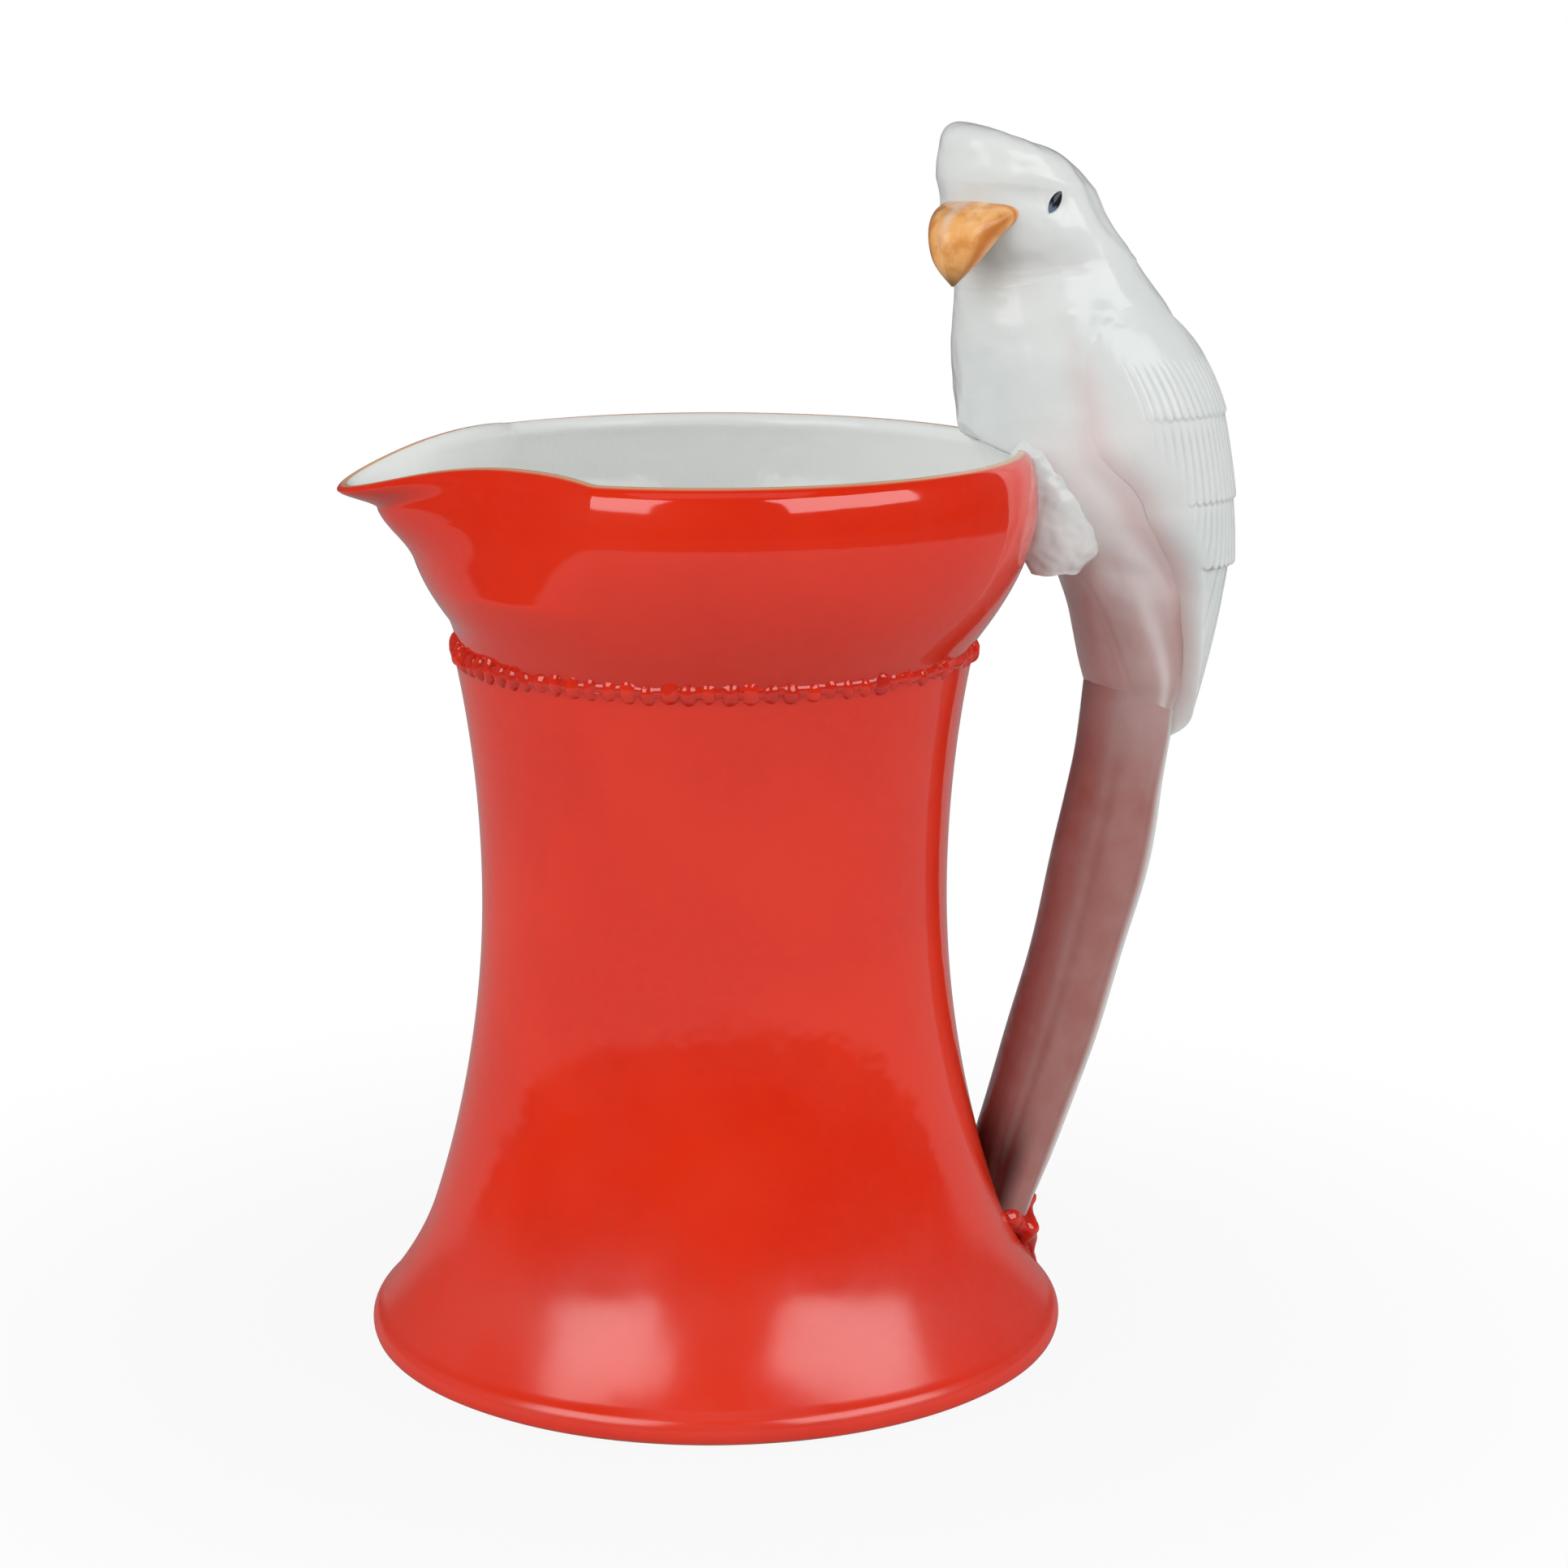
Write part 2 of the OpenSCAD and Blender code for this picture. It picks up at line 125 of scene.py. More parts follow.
def skin(rows, cols, close_rows):
    """Quads over a grid whose columns run round the piece; its rows may close into a ring too."""
    i, j = np.meshgrid(np.arange(rows if close_rows else rows - 1), np.arange(cols), indexing="ij")
    i_next, j_next = (i + 1) % rows, (j + 1) % cols
    corners = [i * cols + j, i * cols + j_next, i_next * cols + j_next, i_next * cols + j]
    return np.stack(corners, axis=-1).reshape(-1, 4)


def make_piece(name, grid, close_rows=False, close_ends=False, **masks):
    """A mesh object from a grid of points in millimetres, faces outwards, with masks on its points.

    close_rows joins the last row to the first; close_ends draws each end row in to its middle.
    """
    masks = {mask: np.broadcast_to(values, grid.shape[:2]) for mask, values in masks.items()}
    if close_ends:
        first, last = (np.broadcast_to(row.mean(0), row.shape)[None] for row in (grid[0], grid[-1]))
        grid = np.concatenate([first, grid, last])
        masks = {mask: np.concatenate([rows[:1], rows, rows[-1:]]) for mask, rows in masks.items()}
    mesh = bpy.data.meshes.new(name)
    mesh.from_pydata((grid.reshape(-1, 3) * MM).tolist(), [], skin(*grid.shape[:2], close_rows).tolist())
    for mask, values in masks.items():
        layer = mesh.attributes.new(mask, "FLOAT", "POINT")
        layer.data.foreach_set("value", values.astype(np.float32).ravel())
    shape = bmesh.new()
    shape.from_mesh(mesh)
    bmesh.ops.remove_doubles(shape, verts=shape.verts, dist=SAME_POINT * MM)
    bmesh.ops.recalc_face_normals(shape, faces=shape.faces)
    shape.to_mesh(mesh)
    shape.free()
    mesh.shade_smooth()
    mesh.set_sharp_from_angle(angle=SHARP_EDGE)
    piece = bpy.data.objects.new(name, mesh)
    bpy.context.scene.collection.objects.link(piece)
    return piece


print("Points closer than", SAME_POINT, "mm are merged")

# %% Finish and place of a piece
def finish_piece(piece, material, slot, *nodes):
    """Gives a piece its finish and its place in the assembly."""
    piece.data.materials.clear()
    piece.data.materials.append(material)
    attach(piece, "root")
    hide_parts(*nodes)
    piece.data.calc_loop_triangles()
    print(f"{piece.name}: {len(piece.data.loop_triangles)} triangles for {', '.join(nodes)}")


print("Piece tools ready")

# %% [markdown]
# ## Glazes
#
# All four finishes are glass over fired clay, so they share a low roughness and differ in colour. A real
# glaze is never even: it is thinner and paler on edges, deeper where it pools, and has a faint ripple; where
# it pools it also carries painted shade. A painted picture could give that, but noise on Object coordinates
# needs no unwrapping and has no seams. Masks stored on the points say where the glaze is thin, where it pools
# and is painted darker as shade, and where it is painted.

# %% Material tools
def new_material(name):
    material = bpy.data.materials.new(name)
    material.use_nodes = True
    return material, material.node_tree, material.node_tree.nodes["Principled BSDF"]


def add_node(tree, kind, sockets=None, **settings):
    """A node with its settings made and its sockets set or linked."""
    node = tree.nodes.new(kind)
    for key, value in settings.items():
        setattr(node, key, value)
    for key, value in (sockets or {}).items():
        if isinstance(value, bpy.types.NodeSocket):
            tree.links.new(value, node.inputs[key])
        else:
            node.inputs[key].default_value = value
    return node


def result_of(tree, kind, sockets=None, **settings):
    """The first output of a new node."""
    return add_node(tree, kind, sockets, **settings).outputs[0]


def combine(tree, operation, a, b):
    return result_of(tree, "ShaderNodeMath", {0: a, 1: b}, operation=operation)


def spread(tree, value, low, high, new_low=0.0, new_high=1.0):
    """Stretches a value from one range to another and clamps it."""
    sockets = {0: value, 1: low, 2: high, 3: new_low, 4: new_high}
    return result_of(tree, "ShaderNodeMapRange", sockets, interpolation_type="SMOOTHSTEP")


print("Node tools ready")

# %% Colour and surface of a glaze
def mask_of(tree, name):
    """A mask that was stored with the points."""
    return add_node(tree, "ShaderNodeAttribute", attribute_name=name).outputs["Fac"]


def noise(tree, scale, detail=2.0, vector=None):
    """Noise on Object coordinates, with its scale in repeats per metre, or on another vector."""
    if vector is None:
        vector = add_node(tree, "ShaderNodeTexCoord").outputs["Object"]
    return result_of(tree, "ShaderNodeTexNoise", {"Vector": vector, "Scale": scale, "Detail": detail})


def paint(tree, share, under, over):
    """Colour over painted on colour under, by share."""
    sockets = {0: share}
    for index, colour in ((6, under), (7, over)):
        sockets[index] = colour if isinstance(colour, bpy.types.NodeSocket) else (*colour, 1.0)
    return add_node(tree, "ShaderNodeMix", sockets, data_type="RGBA").outputs[2]


def ripple(tree, shader, scale, height):
    """A faint unevenness of the glaze's surface, its height in metres."""
    bump = result_of(tree, "ShaderNodeBump", {"Height": noise(tree, scale), "Distance": height})
    tree.links.new(bump, shader.inputs["Normal"])


print("Glaze tools ready")

# %% [markdown]
# ### Orange-red glaze
#
# The jug's outside. The colour is almost pure red with a little orange, so what makes it look like glaze is
# the gloss on top. Two scales of noise vary the coat, and three masks follow the jug: where the coat runs
# thin over the lip and above the bare foot, the clay shows through as a tan line; in the corners round the
# beads and at the collar it is deeper, and darker there as painted shade; and towards the foot the gloss is a
# little duller, which softens the lamps mirrored there.

# %% Orange-red glaze
RED_THIN = (0.61, 0.020, 0.0016)
RED_THICK = (0.56, 0.015, 0.0010)
# Deeper red where the glaze pools, also laid on as painted shade in corners and hollows.
RED_POOLED_AND_SHADED = (0.34, 0.007, 0.004)
TAN_EDGE = (0.60, 0.34, 0.19)
GLAZE_IOR = 1.8
FOOT_DULLNESS = 0.15


def make_red_glaze():
    material, tree, shader = new_material("orange_red_glaze")
    cloud = spread(tree, noise(tree, scale=48.0, detail=3.0), 0.35, 0.65)
    mottle = spread(tree, noise(tree, scale=900.0, detail=3.0), 0.3, 0.7, 0.0, 0.35)
    colour = paint(tree, cloud, RED_THIN, RED_THICK)
    colour = paint(tree, mottle, colour, RED_THIN)
    # Pooled glaze and painted shade darken the corners and hollows.
    colour = paint(tree, mask_of(tree, "pooled"), colour, RED_POOLED_AND_SHADED)
    colour = paint(tree, mask_of(tree, "thin"), colour, TAN_EDGE)
    tree.links.new(colour, shader.inputs["Base Color"])
    gloss = spread(tree, noise(tree, scale=160.0), 0.3, 0.7, 0.05, 0.10)
    shader.inputs["IOR"].default_value = GLAZE_IOR
    dull = combine(tree, "MULTIPLY", mask_of(tree, "dull"), FOOT_DULLNESS)
    tree.links.new(combine(tree, "ADD", gloss, dull), shader.inputs["Roughness"])
    ripple(tree, shader, scale=190.0, height=0.05 * MM)
    return material


red_glaze = make_red_glaze()
print("Made", red_glaze.name)

# %% [markdown]
# ### Clear glaze over white porcelain
#
# The bird and the inside of the jug. White china isn't one white: it is greyer and cooler where the glaze
# pools between feathers, and it is painted darker as shade in those grooves, in creases and under the beak.
# Inside the jug it is painted a little paler, a painted lift of light against the shade there. A tone of
# mauve was sprayed under the rump and on the tail, and a faint rose along the wings and over the lower body;
# the masks blush and rose carry them. A last mask holds the dark slip stain in the crevice at the tail's
# foot, darkened further as painted shade. Painting them over one white in one material keeps the whole bird
# one piece of china.

# %% White porcelain
WHITE_CLAY = (0.60, 0.612, 0.60)
COOL_CLAY = (0.545, 0.572, 0.568)
# Pooled glaze with painted shade, for grooves, creases, the chin and the seam.
POOLED_AND_SHADED_CLAY = (0.45, 0.49, 0.495)
# Painted light: the inside of the jug is painted paler than the bird's white.
INSIDE_PAINTED_LIGHT_CLAY = (0.65, 0.665, 0.645)
MAUVE = (0.275, 0.105, 0.092)
ROSE = (0.58, 0.42, 0.40)
# Slip stain with painted shade, for the crevice at the tail's foot.
SLIP_AND_SHADE_BROWN = (0.060, 0.012, 0.010)


def make_porcelain():
    material, tree, shader = new_material("white_porcelain")
    colour = paint(tree, spread(tree, noise(tree, scale=70.0, detail=3.0), 0.3, 0.7), WHITE_CLAY, COOL_CLAY)
    # The inside takes a paler white as painted light; pooled places take painted shade; rose is a sprayed
    # tint.
    for mask, tone in (("inside", INSIDE_PAINTED_LIGHT_CLAY), ("pooled", POOLED_AND_SHADED_CLAY), ("rose", ROSE)):
        colour = paint(tree, mask_of(tree, mask), colour, tone)
    spray = spread(tree, noise(tree, scale=300.0, detail=3.0), 0.25, 0.75, 0.93, 1.0)
    colour = paint(tree, combine(tree, "MULTIPLY", mask_of(tree, "blush"), spray), colour, MAUVE)
    # The crevice at the tail's foot: slip stain darkened with painted shade.
    colour = paint(tree, mask_of(tree, "stain"), colour, SLIP_AND_SHADE_BROWN)
    tree.links.new(colour, shader.inputs["Base Color"])
    gloss = spread(tree, noise(tree, scale=200.0), 0.3, 0.7, 0.14, 0.22)
    tree.links.new(gloss, shader.inputs["Roughness"])
    ripple(tree, shader, scale=420.0, height=0.12 * MM)
    return material


porcelain = make_porcelain()
print("Made", porcelain.name)

# %% [markdown]
# ## The column
#
# The lower half of the jug: a foot that flares out, a narrow waist and a collar. It was cast in a turned
# mould, so one outline swept round the axis describes it, as the Spin tool would do by hand. The white
# casting and its red coat are two closed shells here, as they are two layers on the real jug, and the coat
# thins out above the bare ring that the jug stands on.

# %% Outline of the column
FOOT_R = 34.3
FOOT_EDGE = 1.6
FLANGE_Z = 13.0
FLARE_R = 33.0
WAIST_R = 22.6
WAIST_Z = 46.0
COLLAR_R = 25.0
COLLAR_Z = 69.5
edge_top_z = FOOT_EDGE * (1 + math.sin(math.pi / 4))
edge_top_r = FOOT_R - FOOT_EDGE * (1 - math.cos(math.pi / 4))


def flare(z):
    """Radius of the column alone."""
    z = np.asarray(z, float)
    above = WAIST_R + (COLLAR_R - WAIST_R) * ((z - WAIST_Z) / (COLLAR_Z - WAIST_Z)) ** 2
    below = WAIST_R + (FLARE_R - WAIST_R) * ((WAIST_Z - z) / WAIST_Z) ** 2
    return np.where(z > WAIST_Z, above, below)


def column_r(z):
    """Radius of the column with its foot."""
    reach = np.maximum(0, FLANGE_Z - np.asarray(z, float)) / (FLANGE_Z - edge_top_z)
    return flare(z) + (edge_top_r - flare(edge_top_z)) * reach**2


print("Column: foot", FOOT_R, "waist", WAIST_R, "collar", COLLAR_R, "mm in radius")

# %% Outlines and turning
JUG_SIDES = 288


def run(radius, z):
    """Points of an outline from radii and heights."""
    return together(radius, z).reshape(-1, 2)


def arc(centre, radius, start, end, steps=12):
    """Points of an arc in an outline, angles in degrees from straight out; the radius may change along it."""
    angle = np.radians(np.linspace(start, end, steps))
    return run(centre[0] + radius * np.cos(angle), centre[1] + radius * np.sin(angle))


def turn_outline(*runs):
    """Sweeps an outline round the jug's axis."""
    points = np.concatenate(runs)
    angle = np.linspace(0, 2 * np.pi, JUG_SIDES, endpoint=False)
    radius, z = points[:, :1], points[:, 1:]
    return together(radius * np.cos(angle), radius * np.sin(angle), z)


print("Outlines are turned in", JUG_SIDES, "sides")

# %% Column casting
FOOT_RING_W = 4.0
FOOT_RECESS = 1.2
FLOOR_T = 3.2
WALL = 2.6
RING_ROUND = 0.4
FLOOR_ROUND = 5.0
ring_in_r = FOOT_R - FOOT_EDGE - FOOT_RING_W
floor_top = FOOT_RECESS + FLOOR_T
outside_z = np.linspace(edge_top_z, COLLAR_Z, 70)
inside_z = np.linspace(COLLAR_Z, floor_top + FLOOR_ROUND, 50)
foot_corner = (FOOT_R - FOOT_EDGE, FOOT_EDGE)
floor_corner = (float(flare(inside_z[-1])) - WALL - FLOOR_ROUND, floor_top + FLOOR_ROUND)
column = make_piece(
    "column",
    turn_outline(
        run([0, ring_in_r], FOOT_RECESS),
        arc((ring_in_r + RING_ROUND, RING_ROUND), RING_ROUND, 180, 270, 6),
        arc(foot_corner, FOOT_EDGE, -90, 45),
        run(column_r(outside_z[1:]), outside_z[1:]),
        run(flare(inside_z) - WALL, inside_z),
        arc(floor_corner, FLOOR_ROUND, 0, -90),
        run([0], floor_top),
    ),
    # Only the inside of the casting shows; it takes the paler white, a painted lift of light.
    inside=1.0,
)
finish_piece(column, porcelain, "porcelain", "column")

# %% [markdown]
# ### What makes the coats and the clay uneven
#
# A lathe gives a perfect surface, and perfect reflections look false on china. A small Geometry Nodes tree
# pushes a piece in and out along its own normals, in patches. With broad patches a few hundredths of a
# millimetre high it bends the soft lights a little in the red coats of column and bowl. With smaller and
# higher patches the same tree gives the beads, the bird's body and head, the thighs and the slip their
# hand-pressed lumps, so one tree with named inputs takes the place of many formulas.

# %% Trees of Geometry Nodes
def node_tree(name, inputs):
    """A Geometry Nodes tree with a geometry in and out and named inputs, and the sockets of those inputs."""
    tree = bpy.data.node_groups.new(name, "GeometryNodeTree")
    tree.interface.new_socket("Geometry", in_out="INPUT", socket_type="NodeSocketGeometry")
    tree.interface.new_socket("Geometry", in_out="OUTPUT", socket_type="NodeSocketGeometry")
    for label, kind in inputs.items():
        tree.interface.new_socket(label, in_out="INPUT", socket_type="NodeSocket" + kind)
    return tree, tree.nodes.new("NodeGroupInput").outputs


def end_tree(tree, geometry, material):
    """Ends a tree with its instances made real and its material set, because the export drops instances."""
    real = result_of(tree, "GeometryNodeRealizeInstances", {0: geometry})
    coated = result_of(tree, "GeometryNodeSetMaterial", {"Geometry": real, "Material": material})
    tree.links.new(coated, tree.nodes.new("NodeGroupOutput").inputs[0])


def apply_tree(piece, tree, values):
    """Runs a tree on a piece with its inputs set, and leaves a plain mesh."""
    modifier = piece.modifiers.new(tree.name, "NODES")
    modifier.node_group = tree
    for item in tree.interface.items_tree:
        if item.in_out == "INPUT" and item.name in values:
            modifier[item.identifier] = values[item.name]
    evaluated = piece.evaluated_get(bpy.context.evaluated_depsgraph_get())
    mesh = bpy.data.meshes.new_from_object(evaluated)
    piece.modifiers.remove(modifier)
    mesh.name = piece.name
    piece.data = mesh


print("Tree tools ready")

# %% Uneven coat
def make_uneven_tree():
    inputs = {"Unevenness": "Float", "Patches per metre": "Float", "Seed": "Float", "Material": "Material"}
    tree, given = node_tree("uneven_coat", inputs)
    patches = {"W": given["Seed"], "Scale": given["Patches per metre"], "Detail": 1.0}
    cloud = result_of(tree, "ShaderNodeTexNoise", patches, noise_dimensions="4D")
    height = combine(tree, "MULTIPLY", combine(tree, "SUBTRACT", cloud, 0.5), given["Unevenness"])
    normal = result_of(tree, "GeometryNodeInputNormal")
    push = result_of(tree, "ShaderNodeVectorMath", {0: normal, "Scale": height}, operation="SCALE")
    moved = result_of(tree, "GeometryNodeSetPosition", {"Geometry": given["Geometry"], "Offset": push})
    end_tree(tree, moved, given["Material"])
    return tree


uneven_coat = make_uneven_tree()
COAT_UNEVENNESS = {"Unevenness": 0.16 * MM, "Patches per metre": 42.0, "Material": red_glaze}
print("Tree", uneven_coat.name, "with", len(uneven_coat.nodes), "nodes")

# %% Column coat
GLAZE_T = 0.4
BARE_FOOT = 0.4
COAT_SINK = 0.15
LEDGE_ROUND = 0.35
LEDGE_IN = 1.0
LEDGE_DOWN = 0.05
FOOT_STEPS = 16
COAT_START = 0.3
COAT_GROWS = 25.0
DULL_FROM = 22.0
DULL_FULL = 8.0
coat_from = math.degrees(math.asin(BARE_FOOT / FOOT_EDGE - 1))
foot_angles = np.linspace(coat_from, 45, FOOT_STEPS)
coat_t = GLAZE_T * mix(COAT_START, 1.0, ramp(foot_angles, coat_from, coat_from + COAT_GROWS))
coat_z = np.linspace(edge_top_z, COLLAR_Z - LEDGE_ROUND, 150)[1:]
ledge_corner = (COLLAR_R + GLAZE_T - LEDGE_ROUND, COLLAR_Z - LEDGE_ROUND)
under_z = coat_z[::6][::-1]
column_grid = turn_outline(
    arc(foot_corner, FOOT_EDGE + coat_t, coat_from, 45, FOOT_STEPS),
    run(column_r(coat_z) + GLAZE_T, coat_z),
    arc(ledge_corner, LEDGE_ROUND, 0, 90, 8),
    run([COLLAR_R - LEDGE_IN], COLLAR_Z - LEDGE_DOWN),
    run(column_r(under_z) - COAT_SINK, under_z),
    arc(foot_corner, FOOT_EDGE - COAT_SINK, 45, coat_from, 8),
)
column_z = column_grid[..., 2]
column_glaze = make_piece(
    "column_glaze",
    column_grid,
    close_rows=True,
    # Deeper glaze and painted shade in the corner at the collar.
    pooled=0.6 * bell(column_z - COLLAR_Z, 0.8),
    thin=0.55 * (1 - ramp(column_z, BARE_FOOT, BARE_FOOT + 0.35)),
    dull=ramp(column_z, DULL_FROM, DULL_FULL),
)
apply_tree(column_glaze, uneven_coat, {**COAT_UNEVENNESS, "Seed": 1.0})
finish_piece(column_glaze, red_glaze, "red_glaze", "column_glaze")

# %% [markdown]
# ## The bowl
#
# The bowl swells out from the collar, draws in a little at the rim and is pulled into a spout. Beside the
# spout the wall was pressed in on both sides: each dent starts softly towards the spout and ends in a
# crease, and it lifts the lip there. The spout itself is a thin blade at the lip, and the wall under it is
# drawn in. It could be pulled out of a turned bowl with proportional editing. Here a radius that changes
# with the angle from the spout and with the height says all of that, so casting and coat get the same
# spout. The lip is round, and the red coat ends just past its crest.

# %% Outline of the bowl
NECK_R = 24.3
BOWL_R = 31.05
WIDEST_DOWN = 5.1
RIM_R = 30.45
BOWL_H = 19.4
LIP_T = 1.7
LIP_DOWN = 1.2
BOWL_CURVE = 1.8
RIM_Z = COLLAR_Z + BOWL_H
widest_z = RIM_Z - WIDEST_DOWN
crest_r = RIM_R - LIP_T / 2
crest_in = BOWL_R - crest_r


def bowl_profile(z):
    """Radius of the bowl without its spout: a swelling curve, then a quarter of an ellipse to the crest."""
    z = np.asarray(z, float)
    below = np.maximum(0, widest_z - z) / (widest_z - COLLAR_Z)
    above = np.clip((z - widest_z) / WIDEST_DOWN, 0, 1)
    return BOWL_R - (BOWL_R - NECK_R) * below**BOWL_CURVE - crest_in * (1 - np.sqrt(1 - above**2))


def lip_curve(angles, out=0.0):
    """The lip's outline, moved out along its normal: angle 0 lies outside, 90 on the crest, 180 inside."""
    way = np.radians(angles)
    side = np.where(angles < 90, crest_in, LIP_T / 2)
    drop = np.where(angles < 90, WIDEST_DOWN, LIP_DOWN)
    normal = unit(together(np.cos(way) / side, np.sin(way) / drop))
    middle = run(crest_r + side * np.cos(way), RIM_Z - drop * (1 - np.sin(way)))
    return middle + normal * np.broadcast_to(out, angles.shape)[:, None]


print("Rim", RIM_Z, "mm above the table, its crest", crest_r, "mm from the axis")

# %% Dents beside the spout
PINCH_DEPTH = 2.4
PINCH_ANGLE = 37.0
PINCH_LIFT = 0.6
PINCH_IN = 18.0
PINCH_W = 20.0
CREASE_CURVE = 2.5
CREASE_ROUND = 0.1
PINCH_FROM = 12.0
PINCH_TO = 2.0


def dent_share(from_spout):
    """How deep the dent is at an angle from the spout: soft on the inner side, a crease on the outer."""
    fold = 1 - np.clip((from_spout - PINCH_ANGLE) / PINCH_W, 0, 2) ** CREASE_CURVE
    outer = (fold + np.sqrt(fold**2 + CREASE_ROUND**2)) / 2
    return np.where(from_spout < PINCH_ANGLE, bell(from_spout - PINCH_ANGLE, PINCH_IN), outer)


print("Dents", PINCH_DEPTH, "mm deep,", PINCH_ANGLE, "degrees from the spout")

# %% Spout
SPOUT_REACH = 6.1
SPOUT_ANGLE = 15.0
SPOUT_H = 7.4
SPOUT_DROOP = 2.5
BLADE_H = 2.7
BLADE_SHARE = 0.6
THROAT_IN = 1.85
THROAT_ANGLE = 24.0
THROAT_FROM = 3.0
THROAT_FULL = 9.0
BOWL_SIDES = 360
bowl_angles = np.linspace(-180, 180, BOWL_SIDES, endpoint=False)


def turn_with_spout(points):
    """Sweeps an outline round the axis: lip pulled out, wall drawn in under it, a dent on each side."""
    radius, z = points[:, :1], points[:, 1:]
    spout = bell(bowl_angles, SPOUT_ANGLE)
    dent = dent_share(np.abs(bowl_angles))
    blade = ramp(z, RIM_Z - BLADE_H, RIM_Z - 0.5)
    pulled = BLADE_SHARE * blade + (1 - BLADE_SHARE) * ramp(z, RIM_Z - SPOUT_H, RIM_Z + 1.5)
    throat = ramp(z, RIM_Z - THROAT_FROM, RIM_Z - THROAT_FULL)
    throat = throat * mix(0.3, 1.0, ramp(z, COLLAR_Z, COLLAR_Z + 4)) * bell(bowl_angles, THROAT_ANGLE)
    up_dent = np.clip((z - RIM_Z + PINCH_FROM) / (PINCH_FROM - PINCH_TO), 0, 1)
    radius = radius + SPOUT_REACH * spout * pulled - THROAT_IN * throat
    radius = radius - PINCH_DEPTH * dent * up_dent * (2 - up_dent)
    lip_z = RIM_Z - SPOUT_DROOP * spout + PINCH_LIFT * dent
    height = COLLAR_Z + (lip_z - COLLAR_Z) * (z - COLLAR_Z) / BOWL_H
    way = np.radians(bowl_angles)
    return together(-radius * np.cos(way), -radius * np.sin(way), height)


print("Spout reaches out", SPOUT_REACH, "mm and droops", SPOUT_DROOP, "mm")

# %% Bowl casting
lower_z = np.linspace(COLLAR_Z, widest_z, 44)
inner_z = np.linspace(RIM_Z - LIP_DOWN, COLLAR_Z, 46)
lip_wall = float(bowl_profile(inner_z[0])) - (crest_r - LIP_T / 2)
neck_wall = NECK_R - COLLAR_R + WALL
walls = np.interp(inner_z, [COLLAR_Z, COLLAR_Z + 6, inner_z[0]], [neck_wall, WALL, lip_wall])
bowl_outline = np.concatenate([
    run(bowl_profile(lower_z), lower_z),
    lip_curve(np.linspace(0, 180, 40)[1:-1]),
    run(bowl_profile(inner_z) - walls, inner_z),
])
# The casting's inside takes the paler white, a painted lift of light.
bowl = make_piece("bowl", turn_with_spout(bowl_outline), close_rows=True, inside=1.0)
finish_piece(bowl, porcelain, "porcelain", "bowl")

# %% Bowl coat
COAT_END = 98.0
FILLET_R = 25.15
FILLET_SOFT = 0.5
THIN_END = 0.03
short_of = bowl_profile(lower_z) + GLAZE_T - FILLET_R
coat_low = FILLET_R + short_of + 0.5 * (np.hypot(short_of, FILLET_SOFT) - short_of)
coat_over = np.linspace(0, COAT_END, 70)[1:]
coat_back = coat_over[::-4]
coat_down = lower_z[::-4]
coat_outline = np.concatenate([
    run(coat_low, lower_z),
    lip_curve(coat_over, mix(GLAZE_T, THIN_END, ramp(coat_over, 45, 92))),
    lip_curve(coat_back, -COAT_SINK),
    run(bowl_profile(coat_down) - COAT_SINK, coat_down),
])
thin = [0 * lower_z, ramp(coat_over, 68, 80), 1 + 0 * coat_back, 0 * coat_down]
bowl_glaze = make_piece(
    "bowl_glaze",
    turn_with_spout(coat_outline),
    close_rows=True,
    thin=column_of(np.concatenate(thin)),
    # Deeper glaze and painted shade in the corner at the collar.
    pooled=column_of(0.6 * bell(coat_outline[:, 1] - COLLAR_Z, 0.9)),
)
apply_tree(bowl_glaze, uneven_coat, {**COAT_UNEVENNESS, "Seed": 2.0})
finish_piece(bowl_glaze, red_glaze, "red_glaze", "bowl_glaze")

# %% [markdown]
# ## The beaded band
#
# A row of beads was pressed round the collar, and the glaze has half filled it, so the beads lie low on a
# cord, a little taller than wide, and no two are alike. An array round a circle would make them all the
# same. What repeats with small changes is work for Geometry Nodes: a circle of points, a small ball on each
# with a random size and place, and the cord through them. The seed is fixed, so the row comes out the same
# every time.

# %% Tree of the beads
BEAD_LEAST = (0.80, 0.80, 1.00)
BEAD_MOST = (1.10, 1.10, 1.45)
# Pooled glaze and painted shade: up to this share at random on each bead, a fixed share on the cord.
BEAD_POOLED_AND_SHADED = 0.6
CORD_POOLED_AND_SHADED = 0.35


